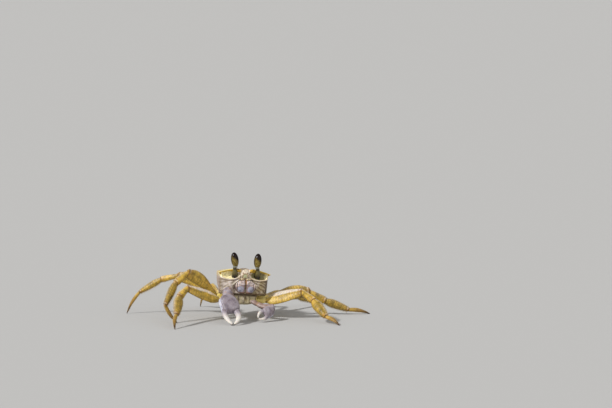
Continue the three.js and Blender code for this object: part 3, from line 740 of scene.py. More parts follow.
# ---- Mouth plates ----
# Two shields close the mouth like doors. Each has a long lower plate and a square upper one with a
# small feeling limb folded over it, a narrow rod along its outer edge, and a fringe on its inner one.
PLATE_LILAC, PLATE_GREY, PLATE_BROWN = linear("#A5A4B5"), linear("#7F7C84"), linear("#7C4F26")
PLATE_PINK, MOUTH_BLACK, MOUTH_RUST = linear("#D9C2B2"), linear("#1A100A"), linear("#A5672E")
# Thin smooth shell with a bluish tint and a soft sheen.
plate_material = shell_material("bluish_mouth_plate", 0.42, 0.5, 0.08, 0.08)
MOUTH_INNER, PLATE_SEAM = 0.2, 7.9
PALP_LINE = ((3.6, -20.1, 11.4), (1.9, -20.5, 10.4), (1.0, -20.4, 8.0))


def plate_seam(p, width):
    """1 in the seam between the lower plate and the upper one."""
    size = abs(p.x - MOUTH_SHIFT)
    return hill(p.z, PLATE_SEAM + 0.12 * (size - 4), width) * fade(5.6, 6.2, size)


def from_swelling(p):
    """How far p is from the middle of the swelling on its lower plate."""
    return Vector((abs(p.x - MOUTH_SHIFT) - 4.3, p.z - 4.6)).length


def plate_relief(p, n):
    rise = 0.5 * hill(from_swelling(p), 0, 2.6) - 0.35 * plate_seam(p, 0.2)
    return smooth(0.2, 0.8, -n.y) * rise + 0.05 * noise.noise(p * 1.4)


def plate_colour(p, n):
    size = abs(p.x - MOUTH_SHIFT)
    blot = noise.noise(p * 0.55 + Vector((3.1, 0, 0)))
    ring = smooth(2.2, 3.0, from_swelling(p)) * fade(PLATE_SEAM - 0.6, PLATE_SEAM + 0.4, p.z)
    upper = smooth(PLATE_SEAM - 0.6, PLATE_SEAM + 0.8, p.z + 0.3 * (size - 3))
    slit = fade(0.45, 1.0, size - 0.04 * (p.z - 6))
    return coated(
        mixed(PLATE_LILAC, PLATE_GREY, 0.2 + 0.8 * blot),
        (PLATE_BROWN, 0.6 * ring),
        (MOUTH_BLACK, 0.6 * hill(Vector((size - 4.5, p.z - 3.4)).length, 0, 0.8)),
        (mixed(PLATE_PINK, PLATE_LILAC, 0.5 * ripple(3.6 * size)), 0.9 * upper),
        # The seam between the plates is brown, and the lower ends are painted brown as shade where the plates
        # meet the breastplate.
        (PLATE_BROWN, max(0.4 * plate_seam(p, 0.35), 0.75 * fade(1.4, 3.0, p.z))),
        # The inner edges are rust higher up and black lower down: the rust is their colour, and the black is
        # painted shade in the slit between the plates.
        (mixed(MOUTH_BLACK, MOUTH_RUST, smooth(6.6, 8.6, p.z)), 0.9 * slit),
    )


def plate_edge(p):
    """Half of the points on the front of a plate's inner edge."""
    return 0.5 * (abs(p.x - MOUTH_SHIFT) < 0.7) * (p.y < -19)


for side, hand in BOTH_SIDES:

    def plate_point(t, a):
        half = (mouth_outer(t) - 1.7 - MOUTH_INNER) / 2
        x = MOUTH_INNER + half + half * squared(math.cos(a), 0.55)
        y = MOUTH_Y + 1.35 * squared(math.sin(a), 0.7) * (1 - 0.3 * (2 * t - 1) ** 2)
        return Vector((MOUTH_SHIFT + side * x, y, MOUTH_LOW + (MOUTH_HIGH - MOUTH_LOW) * t))

    def edge_point(t, a):
        x = mouth_outer(t) - 0.75 + 0.62 * math.cos(a)
        return Vector((MOUTH_SHIFT + side * x, MOUTH_Y + 0.35 + 1.15 * math.sin(a), MOUTH_LOW + 0.3 + 10 * t))

    middle = Vector((MOUTH_SHIFT, 0, 0))
    palp_thick = through((0, 0.75), (0.5, 0.65), (1, 0.3))
    palp = rod([middle + mirrored(p, side) for p in PALP_LINE], palp_thick, 12, 16)
    plate = fused([shaped(40, 40, plate_point), shaped(16, 40, edge_point), palp], grain=0.17, ease=2)
    relief(plate, plate_relief)
    paint(plate, plate_colour)
    fringe_way = Vector((-0.4 * side, -0.3, -0.9))
    fringe_of_plate = bristles_on(plate, plate_edge, 90, 0.9, fringe_way, shell_map)
    bristles(f"mouth_fringe_{hand}", fringe_of_plate, FINE_BRISTLE, body_frame, "pale_shell")
    piece(f"mouth_door_{hand}", plate, body_frame, plate_material, "pale_shell", f"mouthplate_{hand}")


# ---- Feelers ----
# A short whip of fine rings stands beside the brow on each side, and next to it a stubby sensing
# limb lies folded in its pit. Both are thin pale cuticle.
FEELER_LINE = [(3.9, -19.2, 12.9), (5.2, -21, 13.6), (7.4, -22.4, 13.9)]
FOLDED_LINE = [(1.2, -20.1, 12.6), (2.4, -20.5, 13.0), (3.3, -20.1, 12.6)]
FEELER_CREAM, FEELER_TAN = linear("#D8C6A4"), linear("#A98B57")
FEELER_RINGS = 14
feeler_thick = through((0, 0.75), (0.18, 0.62), (0.22, 0.42), (1, 0.2))
folded_thick = through((0, 0.45), (0.5, 0.75), (1, 0.5))


def ringed(t):
    """The radius of the whip, which swells at each ring."""
    return feeler_thick(t) * (1 + 0.1 * math.cos(2 * math.pi * FEELER_RINGS * t))


for side, hand in BOTH_SIDES:
    feeler = rod([mirrored(p, side) for p in FEELER_LINE], ringed, 12, 90)
    folded = rod([mirrored(p, side) for p in FOLDED_LINE], folded_thick, 12, 20)
    paint(feeler, lambda p, n: mixed(FEELER_CREAM, FEELER_TAN, ripple(abs(p.x) * 9)))
    paint(folded, lambda p, n: mixed(FEELER_CREAM, FEELER_TAN, 0.3 + noise.noise(p * 2)))
    piece(f"whip_{hand}", feeler, body_frame, plate_material, "pale_shell", f"feeler_{hand}")
    piece(f"folded_feeler_{hand}", folded, body_frame, plate_material, "pale_shell")


# ---- Breastplate and tail flap ----
# The breastplate is the keel of the body. Its segments are welded together, with a seam between
# each pair of limbs. The tail is a thin tapering flap of seven rings that folds forward in its groove.
BREAST_OLIVE, BREAST_PALE, BREAST_BROWN = linear("#B4A577"), linear("#D6C8A2"), linear("#5E4A2A")
BREAST_PINK = linear("#DDCBBD")
# Shell of the underside: pale, and smoother than the back.
breast_material = shell_material("welded_breastplate", 0.5, 0.6, 0.08, 0.06)
BREAST_FRONT, BREAST_REAR = -16, 13
breast_half = through((BREAST_FRONT, 11.4), (-12, 12.8), (-4, 12.6), (4, 11.4), (BREAST_REAR, 6))
breast_depth = through((BREAST_FRONT, 7), (-11, 8.6), (4, 8.6), (BREAST_REAR, 5))
SEAM_YS = (-12.2, -5.6, 0.8, 7.0)
RING_YS = (-1.2, 2.2, 5.6, 9.0, 12.4)


def breast_point(t, a):
    y = BREAST_FRONT + (BREAST_REAR - BREAST_FRONT) * t
    z = breast_depth(y) * squared(math.sin(a), 0.65)
    return Vector((breast_half(y) * squared(math.cos(a), 0.65), y, min(z, -0.15)))


FLAP_LINE = [(0, 18.4, 4.6), (0, 16.4, -1.5), (0, 12.6, -6.2), (0, 6, -8.4), (0, -3, -8.3)]
flap_half = through((0, 6.4), (0.25, 6.6), (0.6, 4), (0.85, 2.6), (1, 1.1))


def flap_solid(grow):
    """The flap, or a cutter that is larger by grow all round."""
    line = [Vector(p) for p in FLAP_LINE]

    def place(t, a):
        along = curve_way(line, t).normalized()
        out = Vector((0, along.z, -along.y))
        step = out * (0.9 + grow) * math.sin(a) + Vector(((flap_half(t) + grow) * math.cos(a), 0, 0))
        return curve_point(line, t) + step + along * math.copysign(grow, t - 0.5)

    return shaped(32, 70, place)


breast = fused([shaped(64, 60, breast_point)], [flap_solid(0.3)])
flap = flap_solid(0)


def breast_seams(p, width):
    """1 in the seams across the breastplate."""
    return max(hill(p.y, y + 0.12 * abs(p.x), width) for y in SEAM_YS)


def breast_relief(p, n):
    middle = hill(p.x, 0, 0.25) * fade(-13, -11, p.y)
    return -0.4 * breast_seams(p, 0.3) - 0.4 * middle + 0.06 * noise.noise(p)


def breast_colour(p, n):
    front = fade(-15.4, -14.6, p.y)
    streak = hill(math.sin(p.x * 1.3 + noise.noise(p * 0.5)), 1, 0.3) * front
    stripe = hill(math.sin(p.x * 1.7 + 0.8 + noise.noise(p * 0.4)), 1, 0.5) * front * hill(p.x, -3, 5)
    fan = hill(math.sin(9 * math.atan2(p.x - 1, -p.z + 6)), 1, 0.35) * front * fade(2, 5, abs(p.x - 1))
    lines = max(0.7 * breast_seams(p, 0.55), 0.85 * streak, 0.95 * fan * smooth(-7, -3.5, p.z))
    # Painted shade: the top of the breastplate, under the edge of the shell, is painted brown.
    dark = max(lines, 0.85 * smooth(-2.2, -0.8, p.z))
    ground = mixed(BREAST_OLIVE, BREAST_PALE, 0.4 + 1.2 * noise.noise(p * 0.4))
    return coated(ground, (BREAST_PINK, 0.9 * stripe), (BREAST_BROWN, dark))


def flap_relief(p, n):
    rings = max(hill(p.y, y, 0.22) for y in RING_YS) if p.z < -4 else hill(p.z, 1.2, 0.3)
    return -0.25 * rings + 0.04 * noise.noise(p)


relief(breast, breast_relief)
paint(breast, breast_colour)
relief(flap, flap_relief)
paint(flap, lambda p, n: mixed(BREAST_PALE, BREAST_OLIVE, 0.3 + noise.noise(p * 0.5)))
piece("keel_plate", breast, body_frame, breast_material, "pale_shell", "breastplate")
piece("folded_tail", flap, body_frame, breast_material, "pale_shell", "tail_flap")


# ---- Walking legs ----
# Eight long legs, flat across the way that they bend. The thigh is a broad plate crossed by short
# ridges, the knee and the shin are ribbed along their length and fringed with bristles, and the toe
# is a fluted spike with a horny tip. Each segment turns in the rim of the one before.
SIZES = {1: ((32, 15.5, 22, 17), (0.95, 0.93, 1.0, 1.16, 0.95)),
         2: ((34.5, 15.5, 22, 19), (1, 1, 1, 0.96, 0.96)),
         3: ((34, 15, 21.5, 21.5), (0.92, 0.92, 0.82, 0.72, 0.76)),
         4: ((22, 10, 14.5, 14), (0.72, 0.72, 0.72, 0.7, 0.72))}
POSE = {
    "r1": dict(root=(-8.5, -8.6, -4.6), hip=(-21.4, -12, 16.8), reach=35.4, lean=39.6,
               rise=(27.6, -26.9, -47.4), arch=-0.3),
    "r2": dict(root=(-8.5, -2.2, -4.6), hip=(-21.8, -2, 18.6), reach=27, lean=11.6,
               rise=(38.5, -28, -52), arch=2.6),
    "r3": dict(root=(-8.5, 4, -4.6), hip=(-22.4, 8.4, 18.4), reach=-26.5, lean=4,
               rise=(25.5, -13.5, -31), arch=3),
    "r4": dict(root=(-6, 9.6, -3.8), hip=(-15, 16, 18), reach=-82, lean=-4,
               rise=(6, -10, -36), arch=1),
    "l1": dict(root=(8.5, -8.6, -4.6), hip=(19, -11.5, 14.8), reach=38, lean=42,
               rise=(19.5, -31, -42), arch=0),
    "l2": dict(root=(8.5, -2.2, -4.6), hip=(23.4, -3, 16), reach=2, lean=-8,
               rise=(6.5, -30, -22), arch=2),
    "l3": dict(root=(8.5, 4, -4.6), hip=(19, 8.5, 15), reach=-40, lean=0,
               rise=(-6, -3, -16), arch=0.5),
    "l4": dict(root=(6, 9.6, -3.8), hip=(13.4, 16, 15.8), reach=-62, lean=0,
               rise=(16, -18, -50), arch=1),
}
TUCKED = ("r2",)  # its toe points back under the shin

# Half-heights above and below the axis and half-thicknesses, along each kind of segment.
FORMS = {
    "hip": (through((0, 2.5), (0.3, 2.8), (0.52, 2.2), (0.75, 2.6), (1, 2.2)),
            through((0, 2.5), (0.3, 2.6), (0.52, 2.1), (0.75, 2.4), (1, 2.1)),
            through((0, 2.4), (0.3, 2.6), (0.52, 2.1), (0.75, 2.3), (1, 2))),
    "thigh": (through((0, 2), (0.18, 2.6), (0.36, 4), (0.55, 5.4), (0.75, 5.7), (0.9, 4.8), (1, 4)),
              through((0, 2.2), (0.2, 3.4), (0.5, 4.8), (0.74, 5), (0.92, 4.3), (1, 3.4)),
              through((0, 2), (0.3, 2.4), (0.7, 2.3), (0.93, 2.2), (1, 2.1))),
    "knee": (through((0, 2.2), (0.5, 2.8), (0.85, 3.1), (1, 2.7)),
             through((0, 1.9), (0.5, 2.3), (0.85, 2.8), (1, 2.5)),
             through((0, 1.7), (0.6, 2.1), (1, 1.9))),
    "shin": (through((0, 2.3), (0.3, 3.5), (0.7, 2.8), (1, 1.8)),
             through((0, 2.2), (0.3, 3.2), (0.7, 2.6), (1, 1.7)),
             through((0, 1.6), (0.4, 1.7), (1, 1.2))),
    "toe": (through((0, 1.6), (0.3, 1.7), (0.7, 1), (1, 0.35)),
            through((0, 1.5), (0.3, 1.5), (0.7, 0.9), (1, 0.3)),
            through((0, 1.1), (0.5, 0.9), (1, 0.35))),
}
# The first pair's thighs are broadest near the body.
FIRST_THIGH = (through((0, 2.4), (0.12, 4.6), (0.3, 6.4), (0.6, 6.2), (0.85, 4.9), (1, 4)),
               through((0, 2.4), (0.12, 4.6), (0.3, 6.2), (0.6, 5.8), (0.85, 4.5), (1, 3.6)),
               FORMS["thigh"][2])
FORM_MESH = {"hip": (32, 40), "thigh": (48, 150), "knee": (40, 60), "shin": (40, 90), "toe": (32, 70)}

AMBER, AMBER_DEEP, LEG_PALE_AND_HIGHLIGHT = linear("#DCB446"), linear("#5F4D14"), linear("#E6D9CC")
TOE_BROWN, JOINT_DARK = linear("#8A6524"), linear("#4E3210")
HORN, LEG_UNDER_SHADE = linear("#3E2610"), linear("#8A6C2C")
JOINT_ORANGE, HIP_CREAM, ROOT_YELLOW = linear("#A0671C"), linear("#F2DC80"), linear("#E3C468")


def leg_joints(name, pose):
    """The joints from root to tip, and the direction and the upright of each of the five segments."""
    lengths = SIZES[int(name[1])][0]
    side = -1 if name[0] == "r" else 1
    reach, lean = math.radians(pose["reach"]), math.radians(pose["lean"])
    out = Vector((side * math.cos(reach), -math.sin(reach), 0))
    ahead = Vector((-side * math.sin(reach), -math.cos(reach), 0))
    up = Vector((0, 0, math.cos(lean))) - ahead * math.sin(lean)
    hip = Vector(pose["hip"])
    slopes = [math.radians(r) for r in pose["rise"]]
    ankle = hip.z + sum(l * math.sin(s) * up.z for l, s in zip(lengths, slopes))
    drop = math.asin(min(1, ankle / (lengths[3] * up.z)))
    slopes.append(drop - math.pi if name in TUCKED else -drop)
    root = body_in_crab @ Vector(pose["root"])
    ways = [(hip - root).normalized()] + [out * math.cos(s) + up * math.sin(s) for s in slopes]
    uprights = [up] + [up * math.cos(s) - out * math.sin(s) for s in slopes]
    joints = [root, hip]
    for length, way in zip(lengths, ways[1:]):
        joints.append(joints[-1] + way * length)
    return joints, ways, uprights


def limb_frame(at, along, up):
    """The frame of a segment: X along it, Y up in the plane that it bends in, and Z across."""
    across = along.cross(up).normalized()
    up = across.cross(along).normalized()
    turn = Matrix((along, up, across)).transposed().to_4x4()
    return Matrix.Translation(at) @ turn


def rounded(x, first, last, radius):
    """The share of its full size that a section has at x, between two rounded ends."""
    near = min(x - first, last - x)
    return math.sqrt(max(0, 1 - (1 - min(near / radius, 1)) ** 2))


def segment_surface(kind, form, length, stout, arch):
    """The function that places a segment's points, by the share t of its length and the angle."""
    up, down, thick = form
    first = {"hip": -0.5, "toe": -1.0}.get(kind, -1.3)
    last = length + {"toe": 0.0, "thigh": 1.5, "hip": 0.6}.get(kind, 1.0)
    blunt = {"toe": 0.9, "thigh": 2.0}.get(kind, 1.5)
    blade = {"thigh": 1.2, "shin": 1.15}.get(kind, 1)

    def place(s, a):
        x = first + (last - first) * s
        t = x / length
        size = stout * max(rounded(x, first, last, blunt * stout), 0.02)
        rise = math.sin(a)
        keel = 1 + 0.06 * abs(rise) ** 8
        y = size * (up(t) if rise > 0 else down(t)) * rise * keel
        y += arch * math.sin(math.pi * min(max(t, 0), 1))
        return Vector((x, y, size * thick(t) * squared(math.cos(a), blade)))

    return place


def hinge_share(p, n, length):
    """1 on the knob at each side of a segment's far end, which the next segment turns on."""
    return hill(p.x, length - 1.1, 0.8) * hill(p.y, 0, 0.8) * smooth(0.5, 0.9, abs(n.z))


def segment_relief(kind, length, stout, seed):
    """The relief of a segment's skin, from its own coordinates."""
    shift = Vector((seed * 17.3, 0, 0))
    ridge_step, saw_step = 0.95, 1.1

    def height(p, n):
        t = p.x / length
        rough = 0.035 * noise.noise(p * 1.2 + shift)
        if kind == "hip":
            return rough + 0.04 * fade(0.15, 0.5, to_grain(p / 0.9 + shift))
        fluted = ripple(math.atan2(n.y, n.z) * 6)
        if kind == "toe":
            flutes = 0.16 * fluted * smooth(0.02, 0.2, t) * fade(0.75, 1, t)
            return rough * (1 - t) + flutes * stout
        rim = 0.25 * hill(p.x, length - 0.6, 0.4) - 0.12 * hill(p.x, length - 1.7, 0.4)
        rim += 0.45 * stout * hinge_share(p, n, length)
        if kind == "thigh":
            wave = p.x + 0.55 * noise.noise(p * 0.5 + shift)
            ridge = ripple(2 * math.pi * wave / ridge_step) ** 2
            broken = smooth(-0.15, 0.25, noise.noise(Vector((p.x * 0.5, p.y * 0.75, p.z)) + shift))
            edge = smooth(0.75, 0.95, abs(n.y))
            middle = smooth(0.06, 0.14, t) * fade(0.9, 0.96, t)
            saw = 0.1 * edge * ripple(2 * math.pi * p.x / saw_step)
            groove = -0.14 * hill(t, 0.93, 0.012)
            return rough + middle * (0.15 * ridge * broken * (1 - 0.5 * edge) + saw) + groove + rim
        ribs = 0.13 * fluted ** 2 * smooth(0.05, 0.2, t) * fade(0.85, 1, t)
        grains = 0.05 * fade(0.15, 0.5, to_grain(p / 0.8 + shift))
        return rough + ribs + grains + rim

    return height


def segment_colour(kind, length, seed, pair):
    """Amber shell with a painted highlight along its upper side and at its joints, painted shade underneath,
    and a dark horny tip on the toe.
    """
    shift = Vector((seed * 9.7, seed * 3.1, 0))

    def banded(p, n, t, patch):
        """The coats that only a thigh or a shin has: dark bands across it, a line along it, and on the first
        pair's thighs a pale top that is partly painted highlight.
        """
        high = p.y / FORMS[kind][0](t)
        band = ripple(2 * math.pi * (p.x / 2.4 + 0.5 * noise.noise(p * 0.5 + shift)))
        oblique = ripple((p.x + 1.2 * p.y + 1.5 * noise.noise(p * 0.4 + shift)) * 3.1) ** 2
        pale_top_and_highlight = 0.85 * smooth(0.1, 0.35, high + 0.15 * patch)
        return [
            (AMBER_DEEP, 0.6 * oblique if kind == "shin" else 0),
            (AMBER_DEEP, 0.4 * band * smooth(0.1, 0.3, t)),
            (AMBER_DEEP, 0.5 * hill(high, 0.42 + 0.1 * patch, 0.1)),
            (AMBER_DEEP, 0.6 * smooth(0.7, 0.95, abs(n.y))),
            # On the first pair's thighs the upper edge is pale: partly the shell's own pale top and partly
            # painted highlight.
            (LEG_PALE_AND_HIGHLIGHT, pale_top_and_highlight if pair == 1 and kind == "thigh" else 0),
            (ROOT_YELLOW, 0.75 * fade(0.02, 0.36, t + 0.1 * patch) if kind == "thigh" else 0),
        ]

    def jointed(p, n, t):
        """The coats at the ends of a segment that is hinged at both: orange skin, a painted highlight on its
        upper side and a dark line.
        """
        joint = max(fade(0.0, 0.05, t), smooth(0.955, 1.0, t))
        stain = hill(p.x, length - 2.2, 1.3) * smooth(0.0, 0.35, 0.2 + noise.noise(p * 0.7 + shift))
        return [
            (JOINT_ORANGE, 0.4 * joint),
            # Painted highlight on the upper side near the joint and on the joint's rim.
            (LEG_PALE_AND_HIGHLIGHT, 0.5 * hill(p.x, length - 1.5, 0.5) * smooth(-0.2, 0.6, n.y)),
            (LEG_PALE_AND_HIGHLIGHT, 0.5 * joint * smooth(0.3, 0.8, n.y)),
            (JOINT_ORANGE, max(0.5 * stain, 0.8 * hinge_share(p, n, length))),
            (JOINT_DARK, 0.75 * hill(p.x, length - 0.2, 0.45)),
        ]

    def colour_at(p, n):
        t = p.x / length
        patch = noise.noise(p * 0.25 + shift) + 0.5 * noise.noise(p * 0.8 + shift)
        if kind == "hip":
            return mixed(HIP_CREAM, AMBER, 0.15 + 0.5 * patch + 0.4 * smooth(0.85, 1, t))
        own = banded(p, n, t, patch) if kind in ("thigh", "shin") else []
        horny = [(TOE_BROWN, 0.4 + 0.4 * smooth(0.1, 0.5, t)), (HORN, smooth(0.45, 0.95, t))]
        return coated(
            mixed(AMBER, AMBER_DEEP, 0.22 + 0.7 * patch),
            *own,
            # Painted highlight along the upper side of every segment, and painted shade along its underside.
            (LEG_PALE_AND_HIGHLIGHT, smooth(0.35, 0.95, n.y) * (0.6 if pair == 1 else 0.3)),
            (LEG_UNDER_SHADE, 0.5 * smooth(0.4, 0.95, -n.y)),
            (AMBER_DEEP, 0.35 * smooth(0.05, 0.35, noise.noise(p * 1.7 + shift))),
            *(horny if kind == "toe" else jointed(p, n, t)),
        )

    return colour_at


# Bristles stand in rows along the upper and lower edges: the angles of the rows from the edge, the
# spacing along them, and the longest bristle.
FRINGE = {"thigh": ((-0.15, 0.15), 0.9, 0.9), "knee": ((-0.3, 0, 0.3), 0.55, 1.2),
          "shin": ((-0.5, -0.25, 0, 0.25, 0.5), 0.42, 1.7), "toe": ((-0.35, 0, 0.35), 0.5, 1.0)}
LEG_BRISTLE = 0.055  # the radius of a bristle at its root
OVER_FLOOR = 0.3  # a bristle's tip stays this share of its length over the floor
leg_stems = {"r": [], "l": []}


def fringe(kind, surface, length, limb, cell):
    """The bristles of a segment, as (root, way, length, place on the bake map)."""
    rows, spacing, longest = FRINGE[kind]
    steps = int(length / spacing)
    stems = []
    for edge in (math.pi / 2, -math.pi / 2):
        for row in rows:
            for k in range(steps):
                s = 0.06 + 0.86 * (k + draw.random()) / steps
                a = edge + row + draw.uniform(-0.12, 0.12)
                out = Vector((0, math.sin(a), math.cos(a)))
                stray = Vector([draw.uniform(-0.25, 0.25) for _ in range(3)])
                way = limb.to_3x3() @ (out + Vector((0.9, 0, 0)) + stray).normalized()
                root = limb @ (surface(s, a) - out * 0.1)
                across, up = cell % BAKE_CELLS + s, cell // BAKE_CELLS + (a + math.pi) / 7
                spot = (across / BAKE_CELLS, up / BAKE_CELLS)
                reach = longest * draw.uniform(0.55, 1)
                if (root + way * reach).z > OVER_FLOOR * reach:
                    stems.append((root, way, reach, spot))
    return stems


# Thin shell: smooth and a little glossy, and warmed by the light that passes into it.
leg_material = shell_material("amber_leg_shell", 0.38, 0.38, 0.06, 0.14)
# The same shell next to the body: paler, duller and with coarser grains.
hip_material = shell_material("cream_hip_shell", 0.45, 0.45, 0.08, 0.12)
# Skin with no lime in it, between two rims: soft and damp, and it lets the most light in.
skin_material = shell_material("soft_joint_skin", 0.35, 0.3, 0.04, 0.2)
SKIN_ORANGE, SKIN_PALE = linear("#96601F"), linear("#C9A15A")


def joint_pad(size):
    """The soft skin in a joint: a small ball that fills the gap between two rims."""
    pad = ball(Vector((0, 0, 0)), size, rings=14)
    relief(pad, lambda p, n: -0.12 * ripple(p.x * 5))
    paint(pad, lambda p, n: mixed(SKIN_ORANGE, SKIN_PALE, 0.5 + noise.noise(p * 0.8)))
    return pad


def cut_at_floor(toe, limb):
    """Takes off the part of a toe that is under the floor, and closes the cut."""
    to_limb = limb.inverted()
    level = to_limb @ Vector((0, 0, 0))
    up = (to_limb.to_3x3() @ Vector((0, 0, 1))).normalized()
    whole = toe.verts[:] + toe.edges[:] + toe.faces[:]
    done = bmesh.ops.bisect_plane(toe, geom=whole, dist=0.01, plane_co=level, plane_no=up, clear_inner=True)
    rim = [e for e in done["geom_cut"] if isinstance(e, bmesh.types.BMEdge)]
    bmesh.ops.holes_fill(toe, edges=rim)


for number, (name, pose) in enumerate(POSE.items()):
    pair = int(name[1])
    lengths, stouts = SIZES[pair]
    joints, ways, uprights = leg_joints(name, pose)
    spans = [(joints[1] - joints[0]).length, *lengths]
    for i, kind in enumerate(("hip", "thigh", "knee", "shin", "toe")):
        seed = number * 5 + i
        stout = stouts[i]
        arch = {"thigh": pose["arch"], "toe": 1.1}.get(kind, 0)
        form = FIRST_THIGH if kind == "thigh" and pair == 1 else FORMS[kind]
        surface = segment_surface(kind, form, spans[i], stout, arch)
        segment = shaped(*FORM_MESH[kind], surface)
        relief(segment, segment_relief(kind, spans[i], stout, seed))
        paint(segment, segment_colour(kind, spans[i], seed, pair))
        limb = limb_frame(joints[i], ways[i], uprights[i])
        place = crab_frame @ limb
        if kind in FRINGE:
            leg_stems[name[0]] += fringe(kind, surface, spans[i], limb, seed)
        if kind == "toe":
            cut_at_floor(segment, limb)
        material = hip_material if kind == "hip" else leg_material
        piece(f"{kind}_shell_{name}", segment, place, material, "leg_shell", f"{kind}_{name}")
        if kind != "hip":
            up, _, thick = FORMS[kind]
            half = stout * up(0.02)
            pad = joint_pad(Vector((half, half, thick(0) * stout)) * 1.02)
            piece(f"joint_skin_{kind}_{name}", pad, place, skin_material, "leg_shell")


for hand, stems in leg_stems.items():
    bristles(f"leg_bristles_{hand}", stems, LEG_BRISTLE, crab_frame, "leg_shell")


# ---- Claws ----
# The right claw is the larger one. Both are lilac-white shell, thickly beaded, with a high flat
# palm that carries one fixed finger, and a second finger that shuts against it. The fingers are
# toothed, smooth and nearly white towards their tips.
CLAWS = {
    "r": dict(root=(-6.6, -13.4, -4.4), elbow=(-12.6, -21.8, 17), wrist=(-16.2, -23.4, 27),
              hand=(-17.4, -29, 21), point=(-16.9, -43.8, 7.8), palm_up=(1, 0.1, 0),
              arm_size=1, hand_size=1.3),
    "l": dict(root=(6.6, -13.4, -4.4), elbow=(14.5, -21.5, 11.2), wrist=(21.5, -26, 11.5),
              hand=(20.5, -29.5, 9.6), point=(6.5, -38, 3.6), palm_up=(0.2, 0.5, 0.84),
              arm_size=0.74, hand_size=0.74),
}
PALM_ROOT, PALM_LENGTH, WRIST_ROOT = -1.4, 13, -1.6
FIXED_FINGER = ([(9.5, -3.4, 0), (15, -4.1, 0), (20, -2.6, 0), (22.6, -0.75, 0)], 2.4)
MOVING_FINGER = ([(11, 3.6, 0), (15.5, 4.7, 0), (20, 3.1, 0), (22.4, 0.55, 0)], 2.3)
FINGER_TIP = 0.45
palm_up_half = through((0, 4.2), (0.2, 6), (0.6, 6.7), (0.9, 5.6), (1, 3.8))
palm_down_half = through((0, 4.4), (0.2, 6.1), (0.6, 6.3), (0.9, 5), (1, 3.4))
palm_thick = through((0, 3), (0.4, 3.9), (0.8, 3.2), (1, 2))
wrist_half = through((0, 2.8), (0.45, 4.1), (0.85, 4.1), (1, 3.8))
arm_radius = through((0, 2.4), (0.3, 2.9), (0.7, 3.5), (1, 3.2))

CLAW_LILAC, CLAW_WHITE, CLAW_SHADE = linear("#7D7078"), linear("#A69CA2"), linear("#62565E")
CLAW_RUST, TOOTH_WHITE, CLAW_BLUE_HIGHLIGHT = linear("#A87E4C"), linear("#EFE8DC"), linear("#D6D8E8")
# Hard beaded shell, smooth on top of each bead, so that each takes a small soft highlight.
claw_material = shell_material("beaded_claw_shell", 0.42, 0.5, 0.08, 0.1)


def beads(spacing, height, where):
    """A relief of rounded beads, about spacing apart, as high as height where where(p) is 1."""

    def rise(p, n):
        return height * where(p) * fade(0.05, 0.42, to_grain(p / spacing)) + 0.04 * noise.noise(p * 0.9)

    return rise


def finger_radius(root, tip):
    """The radius along a finger, from its root to its tip."""
    return lambda t: root + (tip - root) * t**1.3


def claw_finger(shape, teeth_up):
    """A tapering hooked finger with a row of teeth along the edge that shuts."""
    points, root = shape
    line = [Vector(p) for p in points]
    radius = finger_radius(root, FINGER_TIP)
    solids = [rod(line, radius, 20, 40, 0.8)]
    for k in range(9):
        t = 0.2 + 0.085 * k
        at = curve_point(line, t) + Vector((0, teeth_up * 0.84 * radius(t), 0))
        solids.append(ball(at, Vector((0.6, 0.55, 0.45)) * (1 - 0.06 * k + 0.25 * (k % 3 == 1)), rings=8))
    return solids


def palm_point(s, a):
    x = PALM_ROOT + (PALM_LENGTH - PALM_ROOT) * s
    t = x / PALM_LENGTH
    full = max(rounded(x, PALM_ROOT, PALM_LENGTH, 1.8), 0.03)
    rise = math.sin(a)
    y = full * (palm_up_half(t) if rise > 0 else palm_down_half(t)) * rise
    return Vector((x, y, full * palm_thick(t) * math.cos(a)))


def on_palm(p):
    """1 on the palm, which is beaded, and 0 on the fingers and at the wrist."""
    return fade(10.5, 14, p.x) * smooth(-1, 1, p.x)


